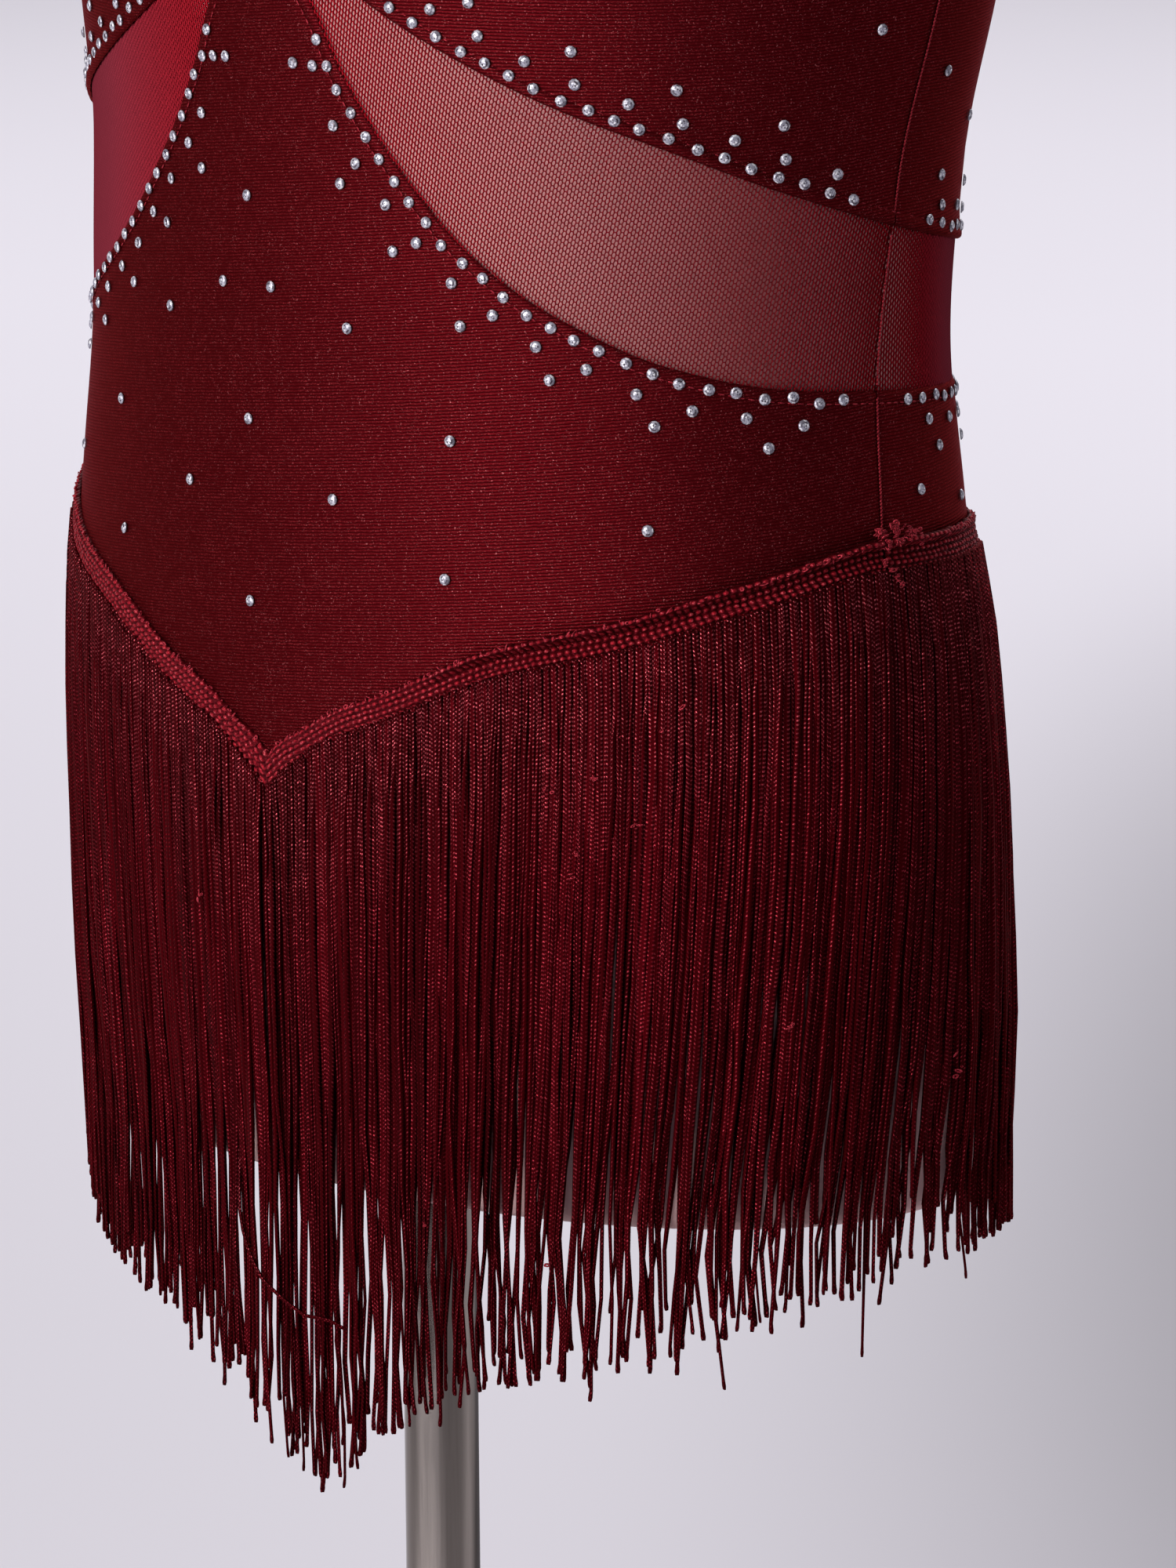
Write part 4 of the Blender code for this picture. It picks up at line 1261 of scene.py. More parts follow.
# Each edge with its rows' side of it, its rows, and the distances along it of the side
# seam and of the last crystal.
STONE_ROWS = [
    (LOWER_TOP, -1.0, [Row(31.4, 6.67, 2.6), Row(28.0, 13.3, 8.0), Row(18.0, 26.8, 14.0)],
     208.1, 379.9),
    (UPPER_HEM, 1.0, [Row(49.4, 6.70, 3.0), Row(60.5, 13.0, 7.5), Row(71.2, 26.0, 14.0)],
     183.4, 351.8),
]
SEAM_CLEARANCE = 9.0      # millimetres free of crystals beside a side seam
# Girth angles and heights of single crystals.
LOOSE_STONES = {
    "lower_front": [(0.8, .9225), (-3.0, .944), (-7.1, .9226), (12.5, .9153),
                    (-18.4, .9137), (-3.1, .890), (-32.2, .8874), (-13.9, .872),
                    (10.4, .8734), (26.5, .890), (25.9, .857), (-29.8, .855),
                    (-2.5, .845), (52.4, .8714), (-52.0, .870), (-71.0, .876)],
    "lower_back": [(99.3, .877), (115.0, .872), (-99.3, .877), (-115.0, .872),
                   (138.0, .878), (-138.0, .878), (160.0, .871), (-160.0, .871),
                   (180.0, .876)],
    "upper_front": [(79.8, .987), (-79.8, .987), (56.0, 1.012), (-56.0, 1.012),
                    (30.0, 1.030), (-30.0, 1.030), (0.0, 1.062), (12.0, 1.050),
                    (-12.0, 1.050)],
    "upper_back": [(97.1, .975), (113.0, .963), (-97.1, .975), (-113.0, .963),
                   (134.0, .972), (-134.0, .972), (158.0, .964), (-158.0, .964),
                   (180.0, .972)],
}


def stone_pattern():
    """Flat-backed crystal whose UV u holds the painted reflection brightness of each of its
    facets.
    """
    set_aside_selection()
    bpy.ops.mesh.primitive_cylinder_add(vertices=STONE_FACETS, radius=STONE_RADIUS,
                                        depth=STONE_THICK)
    thing = named("stone")
    bpy.ops.object.mode_set(mode="EDIT")
    bpy.ops.mesh.select_mode(type="FACE")
    bpy.ops.mesh.select_all(action="DESELECT")
    bpy.ops.object.mode_set(mode="OBJECT")
    for face in thing.data.polygons:
        face.select = face.normal.z > 0.9
    bpy.ops.object.mode_set(mode="EDIT")
    for width, rise in STONE_STEPS:
        bpy.ops.mesh.inset(thickness=width)
        bpy.ops.transform.translate(value=(0.0, 0.0, rise))
    bpy.ops.mesh.poke()
    bpy.ops.object.mode_set(mode="OBJECT")
    mesh = thing.data
    tones = []
    for face in mesh.polygons:
        middle = face.center
        turn = math.atan2(middle.y, middle.x) / (2.0 * math.pi) * STONE_FACETS
        facet = math.floor(turn) % STONE_FACETS
        reach = math.hypot(middle.x, middle.y) / STONE_RADIUS
        tone = next(ring[facet] for least, ring in FACET_RINGS if reach > least)
        tones += [tone] * len(face.vertices)
    set_uv(mesh, np.array(tones), np.zeros(len(tones)))
    return taken(thing)


def stone_spots():
    """Girth angles and heights of the crystals on each knit panel."""
    spots = {node: list(places) for node, places in LOOSE_STONES.items()}
    for marks, way, rows, seam, back in STONE_ROWS:
        part = "lower_" if marks is LOWER_TOP else "upper_"
        for row in rows:
            reach = walk(marks, 0.0, HALF_TURN, row.first * MM, row.pitch * MM)
            at = row.first + row.pitch * np.arange(reach.size)
            for girth, length in zip(reach, at):
                if abs(length - seam) < SEAM_CLEARANCE or length > back:
                    continue
                rise = way * row.inset * MM * float(line_slant(marks, girth))
                height = float(line_height(marks, girth)) + rise
                node = part + ("front" if length < seam else "back")
                spots[node] += [(girth, height), (-girth, height)]
    return spots


def make_stones():
    """The crystals glued on each knit panel, by the name of the panel's node."""
    model = stone_pattern()
    draw = np.random.default_rng(STONE_SEED)
    found = {}
    for node, spots in sorted(stone_spots().items()):
        girth, height = np.array(spots, float).T
        count = girth.size
        girth = girth + draw.normal(0.0, STONE_SCATTER[0], count)
        height = height + draw.normal(0.0, STONE_SCATTER[1], count)
        point, along, outward = cloth_frame(girth, height)
        upright = np.cross(outward, along)
        along, upright = turned(along, upright, draw.uniform(0.0, STONE_SPIN, count))
        upright, outward = turned(upright, outward, draw.normal(0.0, STONE_TILT, count))
        marks, folds = ((LOWER_TOP, TURNED_EDGE) if node.startswith("lower")
                        else (UPPER_HEM, PROUD_HEM))
        reach = np.abs(line_height(marks, girth) - height) / line_slant(marks, girth)
        level = straight(folds, reach / MM, 1) * MM
        point = point + outward * (STONE_OUT + level[:, None])
        places = turned_copies(model, point, along, outward, upright, (1.0, 1.0, 1.0))
        shades = np.repeat(draw.uniform(0.0, 1.0, (count, 1)), len(model.points), axis=1)
        found[node] = joined_copies("crystals_" + node, model, places, shades)
    return found


# ---------------------------------------------------------------- form and stand

FORM_COLUMNS = 120
FORM_WELD = 0.01 * MM
FORM_SHADE = 40.0         # sharpest turn in degrees that is shaded smooth
FORM_ROWS_PITCH = 9 * MM
ROUND_STEPS = 5
NECK_Y = 0.044            # middle of the neck's flat top
EDGE_CLEARANCE = 0.1 * MM  # how far inside the form's ends its skin is worked out


# One ring of the form's surface: on the skin, drawn in by its size, or a plain circle of
# that radius.
FormRing = namedtuple("FormRing", "height on_skin size")


def make_form():
    """Limbless torso: a socket for the pole, a flat underside, its skin and its neck."""
    turns = np.linspace(0.0, math.pi / 2.0, ROUND_STEPS + 1)
    edge = [(EDGE_ROUND * (1.0 - math.cos(turn)), EDGE_ROUND * (1.0 - math.sin(turn)))
            for turn in turns]
    bore, roof = POLE_RADIUS + SEAM_GAP, FORM_BOTTOM + SOCKET_DEPTH + SEAM_GAP
    side = np.arange(FORM_BOTTOM + EDGE_ROUND + FORM_ROWS_PITCH,
                     NECK_TOP - EDGE_ROUND, FORM_ROWS_PITCH)
    rings = [FormRing(roof, False, 0.0), FormRing(roof, False, bore),
             FormRing(FORM_BOTTOM, False, bore)]
    rings += [FormRing(FORM_BOTTOM + rise, True, shrink) for rise, shrink in edge]
    rings += [FormRing(height, True, 0.0) for height in side]
    rings += [FormRing(NECK_TOP - rise, True, shrink) for rise, shrink in edge[::-1]]
    rings += [FormRing(NECK_TOP, False, 0.0)]
    thing, up, across = grid("form_cover", FORM_COLUMNS, len(rings) - 1)
    angle = FULL_TURN * across / FORM_COLUMNS
    height, on_skin, size = (np.array(column)[up] for column in zip(*rings))
    level = np.clip(height, FORM_BOTTOM + EDGE_CLEARANCE, NECK_TOP - EDGE_CLEARANCE)
    point, _, outward = skin_frame(angle, level)
    shell = point - outward * (FORM_INSET + size)[:, None]
    shell[:, 2] = height
    centre = np.where(height > FORM_BOTTOM + 2.0 * SOCKET_DEPTH, NECK_Y, 0.0)
    ring = np.stack([size * np.sin(np.radians(angle)),
                     centre - size * np.cos(np.radians(angle)), height], -1)
    set_points(thing, np.where(on_skin[:, None], shell, ring))
    modifier(thing, "WELD", merge_threshold=FORM_WELD)
    shade(thing, FORM_SHADE)
    return thing


COLLAR_WALL = 5.3 * MM
TURNED_SIDES = 64
PLATE_SIDES = 128
POLE_ROUNDING = 0.4 * MM
PLATE_ROUNDING = 1.5 * MM
BOSS_ROUNDING = 1.2 * MM
ROUNDING_STEPS = 3
ROUNDING_LIMIT = 30.0     # least sharp turn in degrees that is rounded


def rounded(name, shape, width, **size):
    """A turned piece with rounded edges."""
    set_aside_selection()
    shape(**size)
    thing = named(name)
    bpy.ops.object.transform_apply(location=True, rotation=True, scale=True)
    modifier(thing, "BEVEL", width=width, segments=ROUNDING_STEPS, limit_method="ANGLE",
             angle_limit=math.radians(ROUNDING_LIMIT))
    shade(thing, FORM_SHADE)
    return thing


def make_pole():
    foot, head = BASE_THICK + SEAM_GAP, FORM_BOTTOM + SOCKET_DEPTH
    return rounded("pole_tube", bpy.ops.mesh.primitive_cylinder_add, POLE_ROUNDING,
                   vertices=TURNED_SIDES, radius=POLE_RADIUS, depth=head - foot,
                   location=(0, 0, (head + foot) / 2))


def make_base():
    """Round plate with a boss that holds the pole."""
    plate = rounded("plate", bpy.ops.mesh.primitive_cylinder_add, PLATE_ROUNDING,
                    vertices=PLATE_SIDES, radius=BASE_RADIUS, depth=BASE_THICK,
                    location=(0, 0, BASE_THICK / 2))
    collar = POLE_RADIUS + COLLAR_WALL
    boss = rounded("boss", bpy.ops.mesh.primitive_cone_add, BOSS_ROUNDING,
                   vertices=TURNED_SIDES, radius1=BOSS_RADIUS, radius2=collar,
                   depth=BOSS_HEIGHT - BASE_THICK,
                   location=(0, 0, (BOSS_HEIGHT + BASE_THICK) / 2))
    set_aside_selection()
    bpy.ops.mesh.primitive_cylinder_add(
        vertices=TURNED_SIDES, radius=POLE_RADIUS + SEAM_GAP, depth=BOSS_HEIGHT,
        location=(0, 0, BOSS_HEIGHT))
    bore = named("bore")
    bpy.ops.object.transform_apply(location=True, rotation=True, scale=True)
    modifier(boss, "BOOLEAN", operation="DIFFERENCE", object=bore)
    bpy.data.objects.remove(bore)
    pick(plate)
    boss.select_set(True)
    bpy.ops.object.join()
    return named("base_round")


# ---------------------------------------------------------------- materials

RIB_PITCH = 0.79 * MM
RIB_GRAIN = 0.42 * MM
RIB_SWAY = 1.6 * MM
RIB_STREAK = 2.4 * MM
GLITTER_SIZE = 0.36 * MM
YARN_STITCH = 1.03 * MM
YARN_FACES = 4.0          # columns of stitches round a strand
FIBRE = 0.5 * MM
THREAD_FIBRE = 0.4 * MM
RELIEF = 0.12 * MM
HEADING_RELIEF = 0.15 * MM
COVER_RELIEF = 0.08 * MM
BODY_MIDDLE = 0.034       # the waist's middle and how fast its skin turns away, by X and Y
BODY_SPREAD = (56.5, 123.0)
NEAR_HEADING = 55 * MM    # stretch of the strands where their stitches get a brighter painted highlight
CAMERA_TURN = 45.0
SHADE_PLACE = (-0.25, 2.15, 0.0)  # a painted soft shade on the floor behind the stand
SHADE_SIZE = (1.15, 3.27)
STREAKS = 5.0             # painted reflection streaks round the pole
STREAK_TURN = math.radians(155.0)
BRIGHT_TURN = math.radians(132.0)  # where the painted brighter half of the pole lies


def colour(red, green, blue):
    return red, green, blue, 1.0


WINE_SHEEN = colour(1.0, 0.12, 0.17)
# Painted shade in the knit's grooves.
KNIT_GROOVE_SHADE = colour(0.030, 0.0007, 0.0018)
KNIT_RIB = colour(0.080, 0.0025, 0.0046)
# Painted highlight on the knit's stitches.
KNIT_STITCH_HIGHLIGHT = colour(0.215, 0.020, 0.025)
KNIT_CLOUD = colour(0.04, 0.0010, 0.0022)
KNIT_GLITTER = colour(0.80, 0.24, 0.25)
NET_DEEP = colour(0.22, 0.0024, 0.0080)
NET_BRIGHT = colour(0.36, 0.0070, 0.0160)
# Painted sheen of the net where it is seen aslant.
NET_PAINTED_SHEEN = colour(0.205, 0.0235, 0.0390)
STRAND_DEEP = colour(0.022, 0.0003, 0.0010)
STRAND_BRIGHT = colour(0.054, 0.0007, 0.0023)
# Painted highlights on the strands' stitches, brighter near the heading.
STRAND_PAINTED_HIGHLIGHT = colour(0.31, 0.026, 0.040)
STRAND_PAINTED_HIGHLIGHT_TOP = colour(0.52, 0.088, 0.110)
# Painted shade in the heading's grooves, and a painted shine on its cells.
HEADING_GROOVE_SHADE = colour(0.030, 0.0006, 0.0016)
HEADING_LOOP = colour(0.34, 0.0110, 0.0210)
HEADING_VARIED = colour(0.10, 0.0024, 0.0060)
HEADING_SHINE = colour(0.80, 0.150, 0.180)
THREAD = (colour(0.13, 0.005, 0.011), colour(0.42, 0.036, 0.050))
LOOSE_YARN = (colour(0.16, 0.004, 0.011), colour(0.52, 0.052, 0.074))
# Painted reflections and glints of the crystals' facets.
CRYSTAL_DARK_REFLECTION = colour(0.045, 0.030, 0.045)
CRYSTAL_GREY_REFLECTION = colour(0.40, 0.395, 0.480)
CRYSTAL_WHITE_GLINT = colour(0.95, 0.94, 1.00)
COVER = (colour(0.92, 0.585, 0.575), colour(0.96, 0.635, 0.625))
STEEL = (colour(0.50, 0.447, 0.398), colour(0.80, 0.714, 0.635))
# Painted dark reflections on the pole.
STEEL_STREAK_REFLECTION = colour(0.085, 0.072, 0.062)
FLOOR = (colour(0.77, 0.745, 0.785), colour(0.81, 0.785, 0.825))
FAR_FLOOR = colour(0.89, 0.862, 0.905)
FLOOR_SHADE = colour(0.12, 0.115, 0.125)
ROOM_NEAR = colour(0.100, 0.097, 0.104)
ROOM_BEYOND = colour(0.42, 0.41, 0.44)


class Wiring:
    """Adds nodes to one node tree and links them."""

    def __init__(self, tree):
        self.tree = tree

    def feed(self, socket, value):
        if isinstance(value, bpy.types.NodeSocket):
            self.tree.links.new(value, socket)
        elif value is not None:
            socket.default_value = value

    def node(self, kind, *values, **settings):
        """Adds a node, feeds its inputs in their order, and returns its outputs."""
        made = self.tree.nodes.new("ShaderNode" + kind)
        for name, value in settings.items():
            setattr(made, name, value)
        for socket, value in zip(made.inputs, values):
            self.feed(socket, value)
        return made.outputs

    def math(self, operation, *values):
        return self.node("Math", *values, operation=operation)[0]

    def times(self, first, second):
        return self.math("MULTIPLY", first, second)

    def scaled(self, value, factor, offset):
        return self.math("MULTIPLY_ADD", value, factor, offset)

    def place(self):
        """The place in the object's own space, which is the room's."""
        return self.node("TexCoord")["Object"]

    def vector(self, operation, *values):
        return self.node("VectorMath", *values, operation=operation)[0]

    def length(self, vector):
        return self.node("VectorMath", vector, operation="LENGTH")["Value"]

    def step(self, value, low, high):
        """0 below low, 1 above high, and a smooth change between."""
        return self.node("MapRange", value, low, high, 0.0, 1.0,
                         interpolation_type="SMOOTHSTEP")["Result"]

    def mixed(self, share, first, second):
        made = self.tree.nodes.new("ShaderNodeMix")
        made.data_type = "RGBA"
        self.feed(made.inputs["Factor"], share)
        self.feed(made.inputs["A"], first)
        self.feed(made.inputs["B"], second)
        return made.outputs["Result"]

    def noise(self, place, size, detail=2.0, dimensions="3D"):
        return self.node("TexNoise", place, None, 1.0 / size, detail,
                         noise_dimensions=dimensions)["Fac"]

    def chance(self, x, y):
        """An even random number for each whole pair of numbers."""
        place = self.node("CombineXYZ", x, y, 0.0)[0]
        return self.node("TexWhiteNoise", place, noise_dimensions="2D")["Value"]

    def cloth(self):
        """The two coordinates of the cloth's own map."""
        return self.node("SeparateXYZ", self.node("UVMap", uv_map="cloth")[0])[:2]


def group(name, inputs, outputs):
    """Starts a node group of plain numbers, and returns it with both its ends."""
    tree = bpy.data.node_groups.new(name, "ShaderNodeTree")
    for label in inputs:
        tree.interface.new_socket(name=label, in_out="INPUT", socket_type="NodeSocketFloat")
    for label in outputs:
        tree.interface.new_socket(name=label, in_out="OUTPUT", socket_type="NodeSocketFloat")
    start = tree.nodes.new("NodeGroupInput").outputs
    return tree, Wiring(tree), start, tree.nodes.new("NodeGroupOutput").inputs


def use(wiring, tree, *values):
    made = wiring.tree.nodes.new("ShaderNodeGroup")
    made.node_tree = tree
    for socket, value in zip(made.inputs, values):
        wiring.feed(socket, value)
    return made.outputs


def rib_group():
    """Ribs of fine knit: their height, a painted highlight on their stitches, and glitter.
    """
    tree, wire, (v, _), (height, stitch, glitter, _) = group(
        "Rib knit", ("Up",), ("Height", "StitchHighlight", "Glitter"))
    place = wire.place()
    sway = wire.math("SUBTRACT", wire.noise(place, RIB_SWAY), 0.5)
    rows = wire.scaled(sway, 0.5, wire.math("DIVIDE", v, RIB_PITCH))
    ridge = wire.math("SINE", wire.times(wire.math("FRACT", rows), math.pi))
    wire.feed(height, wire.math("POWER", ridge, 0.6))
    grain = wire.step(wire.noise(place, RIB_GRAIN, 1.0), 0.46, 0.70)
    # Streaks that vary the strength of the painted highlight along the ribs.
    painted_streak = wire.step(wire.noise(place, RIB_STREAK, 3.0), 0.35, 0.62)
    lit = wire.times(grain, wire.step(ridge, 0.3, 0.9))
    wire.feed(stitch, wire.times(lit, wire.scaled(painted_streak, 0.6, 0.4)))
    wire.feed(glitter, wire.step(wire.noise(place, GLITTER_SIZE, 0.0), 0.74, 0.80))
    return tree


def yarn_group():
    """Two columns of stitches on each face of a strand: their height and a painted
    highlight on them, the strand's own random number, and the distance down it."""
    tree, wire, (u, v, _), (height, stitch, own, fall, _) = group(
        "Strand stitches", ("Round", "Along"), ("Height", "StitchHighlight", "Own", "Fall"))
    strand = wire.math("FLOOR", v)
    chance = wire.chance(strand, 3.0)
    lobe = wire.math("ABSOLUTE", wire.math("SINE", wire.times(u, YARN_FACES * math.pi)))
    faces = wire.times(u, YARN_FACES)
    side = wire.math("FLOOR", faces)
    run = wire.math("DIVIDE", wire.math("SUBTRACT", v, strand), YARN_STITCH)
    run = wire.math("ADD", run, wire.scaled(side, 0.5, chance))
    way = wire.scaled(wire.math("MODULO", side, 2.0), 2.0, -1.0)
    across = wire.math("SUBTRACT", wire.math("FRACT", faces), 0.5)
    run = wire.scaled(wire.times(way, across), 0.5, run)
    beat = wire.scaled(wire.math("SINE", wire.times(run, 2.0 * math.pi)), 0.5, 0.5)
    wire.feed(height, wire.times(beat, wire.step(lobe, 0.2, 0.9)))
    number = wire.math("FLOOR", run)
    highlight_speck = wire.times(wire.step(beat, 0.50, 0.90), wire.step(lobe, 0.55, 0.90))
    varied = wire.math("POWER", wire.chance(number, strand), 2.2)
    wire.feed(stitch, wire.times(highlight_speck, wire.math("ADD", varied, 0.18)))
    wire.feed(own, chance)
    wire.feed(fall, wire.math("SUBTRACT", v, strand))
    return tree


GROUPS = {"rib": rib_group(), "yarn": yarn_group()}


def principled(name, **constants):
    """A new material with its shader, and a wiring of its tree."""
    made = bpy.data.materials.new(name)
    made.use_nodes = True
    shader = made.node_tree.nodes["Principled BSDF"]
    for label, value in constants.items():
        shader.inputs[label.replace("_", " ")].default_value = value
    return made, Wiring(made.node_tree), shader.inputs


def wine(name, roughness, metallic, level):
    """A material for the dress's yarns, with their wine sheen."""
    return principled(name, Roughness=roughness, Metallic=metallic,
                      Specular_IOR_Level=level, Specular_Tint=WINE_SHEEN)


def bumped(wire, inputs, height, distance):
    bump = wire.tree.nodes.new("ShaderNodeBump")
    bump.inputs["Strength"].default_value = 1.0
    bump.inputs["Distance"].default_value = distance
    wire.feed(bump.inputs["Height"], height)
    wire.feed(inputs["Normal"], bump.outputs["Normal"])


def knit_material():
    made, wire, inputs = wine("wine rib knit", 0.52, 0.85, 0.2)
    _, v = wire.cloth()
    height, stitch, glitter = use(wire, GROUPS["rib"], v)
    cloud = wire.noise(wire.place(), 25 * MM)
    # Painted shade: the grooves between the ribs are darker than the ridges.
    base = wire.mixed(wire.step(height, 0.1, 0.8), KNIT_GROOVE_SHADE, KNIT_RIB)
    # Painted highlight along the ridges of the ribs.
    base = wire.mixed(stitch, base, KNIT_STITCH_HIGHLIGHT)
    base = wire.mixed(wire.times(cloud, 0.3), base, KNIT_CLOUD)
    base = wire.mixed(wire.times(glitter, 0.30), base, KNIT_GLITTER)
    wire.feed(inputs["Base Color"], base)
    bumped(wire, inputs, wire.scaled(stitch, 0.45, height), RELIEF)
    return made


def net_material():
    """Thread with a painted sheen that makes it pinker where the cloth is seen aslant."""
    made, wire, inputs = wine("wine net thread", 0.50, 0.35, 0.2)
    place = wire.place()
    base = wire.mixed(wire.step(wire.noise(place, FIBRE), 0.3, 0.7), NET_DEEP, NET_BRIGHT)
    middle = wire.vector("ADD", place, (0.0, -BODY_MIDDLE, 0.0))
    outward = wire.vector("NORMALIZE",
                          wire.vector("MULTIPLY", middle, (*BODY_SPREAD, 0.0)))
    slant = wire.node("LayerWeight", 0.5, outward)["Facing"]
    # Painted sheen: pinker where the cloth turns away from the view.
    wire.feed(inputs["Base Color"],
              wire.mixed(wire.step(slant, 0.32, 0.78), base, NET_PAINTED_SHEEN))
    return made


def strand_material():
    made, wire, inputs = wine("wine strand", 0.48, 0.7, 0.15)
    u, v = wire.cloth()
    height, stitch, own, fall = use(wire, GROUPS["yarn"], u, v)
    base = wire.mixed(own, STRAND_DEEP, STRAND_BRIGHT)
    # Painted highlight on the stitches, brighter near the heading.
    lit = wire.mixed(wire.step(fall, NEAR_HEADING, 0.0), STRAND_PAINTED_HIGHLIGHT, STRAND_PAINTED_HIGHLIGHT_TOP)
    wire.feed(inputs["Base Color"], wire.mixed(stitch, base, lit))
    wire.feed(inputs["Metallic"], wire.scaled(stitch, 0.35, 0.65))
    wire.feed(inputs["Roughness"], wire.scaled(stitch, -0.12, 0.50))
    bumped(wire, inputs, height, RELIEF)
    return made


def heading_material():
    made, wire, inputs = wine("wine heading yarn", 0.48, 0.3, 0.3)
    u, v = wire.cloth()
    inner = [wire.math("SINE", wire.times(wire.math("FRACT", value), math.pi))
             for value in (u, v)]
    bulge = wire.times(*inner)
    fibre = wire.noise(wire.place(), FIBRE)
    # Painted shade: the grooves between the cells are darker than their crowns.
    base = wire.mixed(wire.step(bulge, 0.30, 0.85), HEADING_GROOVE_SHADE, HEADING_LOOP)
    own = wire.chance(wire.math("FLOOR", u), wire.math("FLOOR", v))
    base = wire.mixed(wire.times(own, 0.6), base, HEADING_VARIED)
    # Painted highlights on the crowns of the cells.
    shine = wire.times(wire.step(fibre, 0.50, 0.68), wire.step(bulge, 0.5, 0.9))
    base = wire.mixed(wire.times(shine, 0.60), base, HEADING_SHINE)
    wire.feed(inputs["Base Color"], base)
    bumped(wire, inputs, bulge, HEADING_RELIEF)
    return made


def thread_material(name, dark, light):
    made, wire, inputs = wine(name, 0.40, 0.3, 0.3)
    fibre = wire.noise(wire.place(), THREAD_FIBRE)
    wire.feed(inputs["Base Color"], wire.mixed(wire.step(fibre, 0.3, 0.7), dark, light))
    return made


def crystal_material():
    """Facets in painted reflection tones, from the map, varied from stone to stone."""
    made, wire, inputs = principled(
        "cut crystal", Roughness=0.24, Metallic=0.35, Coat_Weight=0.25, Coat_Roughness=0.05)
    tone, own = wire.cloth()
    chance = wire.chance(wire.times(tone, 977.0), wire.times(own, 311.0))
    level = wire.math("ADD", tone, wire.scaled(chance, 0.35, -0.15))
    # Painted reflections: dark, grey and white facets.
    base = wire.mixed(wire.step(level, 0.05, 0.60), CRYSTAL_DARK_REFLECTION, CRYSTAL_GREY_REFLECTION)
    base = wire.mixed(wire.step(level, 0.60, 1.00), base, CRYSTAL_WHITE_GLINT)
    wire.feed(inputs["Base Color"], base)
    return made


def cover_material():
    made, wire, inputs = principled("pale form cover", Roughness=0.85, Sheen_Weight=0.2)
    place = wire.place()
    cloud = wire.noise(place, 12 * MM)
    fine = wire.noise(place, 0.6 * MM)
    wire.feed(inputs["Base Color"], wire.mixed(cloud, *COVER))
    bumped(wire, inputs, fine, COVER_RELIEF)
    return made


def steel_material():
    """Steel brushed upwards, with painted reflections: dark streaks round the pole, fewer on
    its painted brighter half.
    """
    made, wire, inputs = principled("brushed steel", Metallic=1.0)
    place = wire.place()
    drawn = wire.vector("MULTIPLY", place, (1.0, 1.0, 0.03))
    grain = wire.noise(drawn, 0.7 * MM, 3.0)
    base = wire.mixed(grain, *STEEL)
    spread = wire.node("SeparateXYZ", place)
    around = wire.math("ARCTAN2", spread[1], spread[0])
    turn = wire.scaled(around, STREAKS, STREAK_TURN)
    half_turns = wire.math("COSINE", wire.scaled(around, 2.0, BRIGHT_TURN))
    sway = wire.times(wire.noise(drawn, 3.5 * MM, 1.0), 2.4)
    band = wire.math("COSINE", wire.math("ADD", turn, wire.math("SUBTRACT", sway, 1.2)))
    # Painted reflections: dark streaks, fewer on the brighter half.
    painted_streak = wire.step(wire.scaled(half_turns, -0.9, band), -1.6, 0.6)
    base = wire.mixed(wire.times(painted_streak, 0.70), base, STEEL_STREAK_REFLECTION)
    wire.feed(inputs["Base Color"], base)
    wire.feed(inputs["Roughness"], wire.scaled(grain, 0.10, 0.12))
    return made


def floor_material():
    """Pale floor with painted shade under the stand and on one side of it, and lighter far
    away.
    """
    made, wire, inputs = principled("pale floor", Roughness=0.9, Specular_IOR_Level=0.1)
    place = wire.place()
    base = wire.mixed(wire.noise(place, 2.5), *FLOOR)
    middle = wire.vector("SUBTRACT", place, SHADE_PLACE)
    level = wire.node("VectorRotate", middle, None, (0.0, 0.0, 1.0),
                      math.radians(-CAMERA_TURN), rotation_type="AXIS_ANGLE")[0]
    ellipse = wire.vector("MULTIPLY", level, (1.0 / SHADE_SIZE[0], 1.0 / SHADE_SIZE[1], 0.0))
    beside = wire.times(wire.step(wire.length(ellipse), 1.20, 0.50), 0.90)
    round_stand = wire.length(place)
    beneath = wire.times(wire.step(round_stand, 1.60, 0.3), 0.50)
    base = wire.mixed(wire.step(round_stand, 7.0, 13.0), base, FAR_FLOOR)
    # Painted shade under the stand and beside it.
    shade_of = wire.math("MAXIMUM", beside, beneath)
    wire.feed(inputs["Base Color"], wire.mixed(shade_of, base, FLOOR_SHADE))
    return made


# ---------------------------------------------------------------- the whole dress

BODY = "root"


def clad(thing, material, node):
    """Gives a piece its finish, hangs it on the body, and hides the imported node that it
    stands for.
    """
    thing.data.materials.clear()
    thing.data.materials.append(material)
    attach(thing, BODY)
    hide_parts(node)
    return thing


# Flat size of each cut piece: width, length and area, in metres and square metres.
Cut = namedtuple("Cut", "width length area")


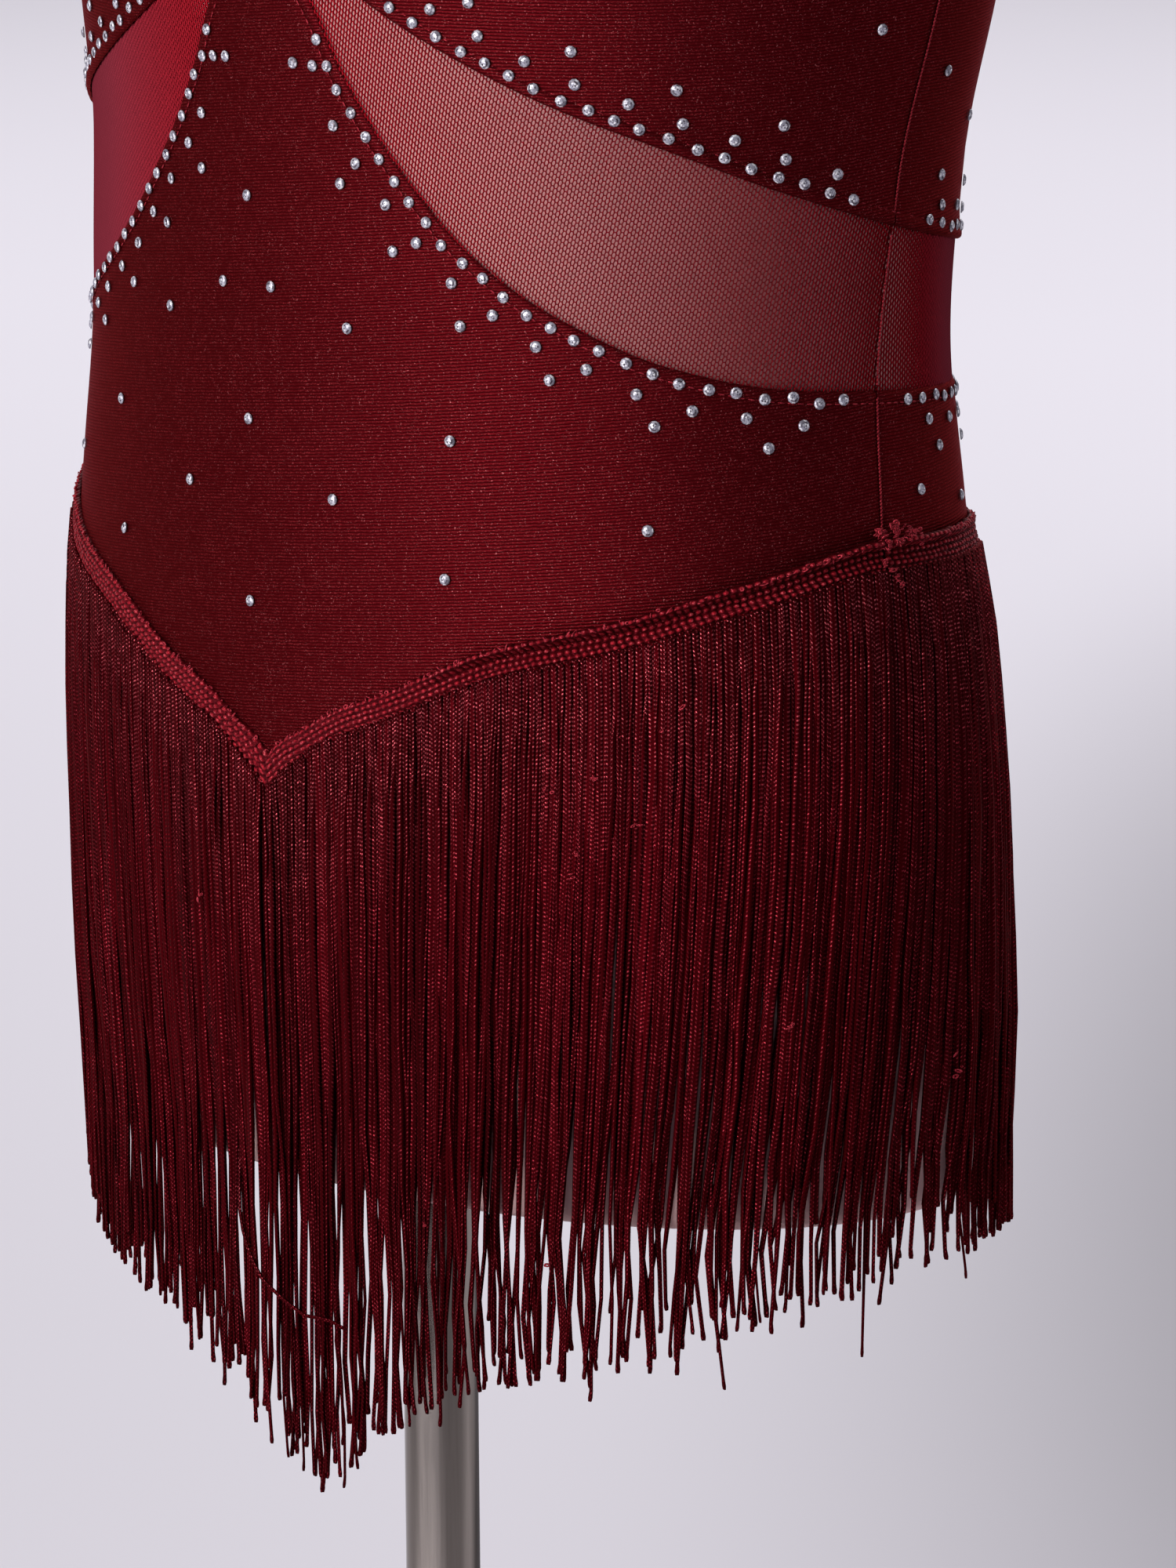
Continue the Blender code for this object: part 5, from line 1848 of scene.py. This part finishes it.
def make_dress():
    knit, net = knit_material(), net_material()
    thread = thread_material("wine thread", *THREAD)
    loose = thread_material("wine loose yarn", *LOOSE_YARN)
    strand, heading = strand_material(), heading_material()
    crystal = crystal_material()
    panels, nets, fringes = make_panels(), make_nets(), make_fringes()
    stitching, stones = make_stitching(), make_stones()
    carried = {node: [] for node in [*panels, *nets]}
    for node, thing in stitching.items():
        carried[node].append(clad(thing, thread, node))
    for node, thing in stones.items():
        carried[node].append(clad(thing, crystal, node))
    for node, thing in panels.items():
        clad(thing, knit, node)
    for node, thing in nets.items():
        clad(thing, net, node)
    for side, name in ((1.0, "left"), (-1.0, "right")):
        strap = make_strap("strap_cloth_" + name, side)
        clad(strap, knit, "strap_" + name)
    for node, (band, loops, *layers) in fringes.items():
        clad(band, heading, node)
        clad(loops, loose, node)
        for layer in layers:
            clad(layer, strand, node)


def make_stand():
    steel = steel_material()
    clad(make_form(), cover_material(), "dress_form")
    clad(make_pole(), steel, "pole")
    clad(make_base(), steel, "base_plate")


# ---------------------------------------------------------------- room, light, camera

CAMERA_PLACE = Vector((1.15213566, -1.09774631, 1.13263813))
CAMERA_PITCH = 12.1
CAMERA_ROLL = -0.38
CAMERA_LENS = 149.4
CAMERA_CLIP = (0.02, 200.0)
SENSOR = 36.0
FLOOR_SIDE = 60.0
SUBJECT = Vector((0.0, 0.0, 0.93))
BEYOND_RISE = 0.35        # the room grows lighter away from the camera and upwards

# An area lamp: its place, its size in metres, its power in watts, its colour and its aim.
Lamp = namedtuple("Lamp", "place size power tint aim")
LAMPS = {
    "key": Lamp((-0.05, -2.0, 1.50), (1.45, 1.5), 48.0, (1.0, 0.98, 0.97), SUBJECT),
    "ceiling": Lamp((-4.2, 5.0, 6.0), (9.0, 7.0), 430.0, (0.97, 0.96, 1.0),
                    Vector((-4.2, 5.0, 0.0))),
    "rim": Lamp((1.9, 1.4, 1.3), (0.8, 1.6), 4.0, (0.95, 0.94, 1.0), SUBJECT),
}


def make_camera():
    turn, pitch, roll = (math.radians(angle) for angle in
                         (CAMERA_TURN, CAMERA_PITCH, CAMERA_ROLL))
    ahead = Vector((-math.sin(turn) * math.cos(pitch), math.cos(turn) * math.cos(pitch),
                    -math.sin(pitch)))
    right = Vector((math.cos(turn), math.sin(turn), 0.0))
    up = right.cross(ahead)
    side = right * math.cos(roll) + up * math.sin(roll)
    above = up * math.cos(roll) - right * math.sin(roll)
    data = bpy.data.cameras.new("camera")
    data.lens = CAMERA_LENS
    data.sensor_width = SENSOR
    data.clip_start, data.clip_end = CAMERA_CLIP
    camera = linked("camera", data)
    axes = Matrix((side, above, -ahead)).transposed().to_4x4()
    camera.matrix_world = Matrix.Translation(CAMERA_PLACE) @ axes
    bpy.context.scene.camera = camera


def make_light(name, lamp):
    data = bpy.data.lights.new(name, "AREA")
    data.shape = "RECTANGLE"
    data.size, data.size_y = lamp.size
    data.energy = lamp.power
    data.color = lamp.tint
    light = linked(name, data)
    light.location = lamp.place
    light.visible_camera = False
    way = lamp.aim - Vector(lamp.place)
    light.rotation_euler = way.to_track_quat("-Z", "Y").to_euler()


def make_room():
    set_aside_selection()
    bpy.ops.mesh.primitive_plane_add(size=FLOOR_SIDE)
    floor = named("floor")
    floor.data.materials.append(floor_material())
    world = bpy.data.worlds.new("room")
    world.use_nodes = True
    wire = Wiring(world.node_tree)
    way = wire.node("TexCoord")["Generated"]
    turn = math.radians(CAMERA_TURN)
    beyond = wire.node("VectorMath", way, (-math.sin(turn), math.cos(turn), BEYOND_RISE),
                       operation="DOT_PRODUCT")["Value"]
    backdrop = world.node_tree.nodes["Background"].inputs
    wire.feed(backdrop["Color"],
              wire.mixed(wire.step(beyond, -0.9, 0.9), ROOM_NEAR, ROOM_BEYOND))
    bpy.context.scene.world = world
    for name, lamp in LAMPS.items():
        make_light(name, lamp)
    bpy.context.scene.view_settings.view_transform = "Standard"


set_aside_selection()
make_dress()
make_stand()
make_room()
make_camera()

bpy.context.view_layer.update()
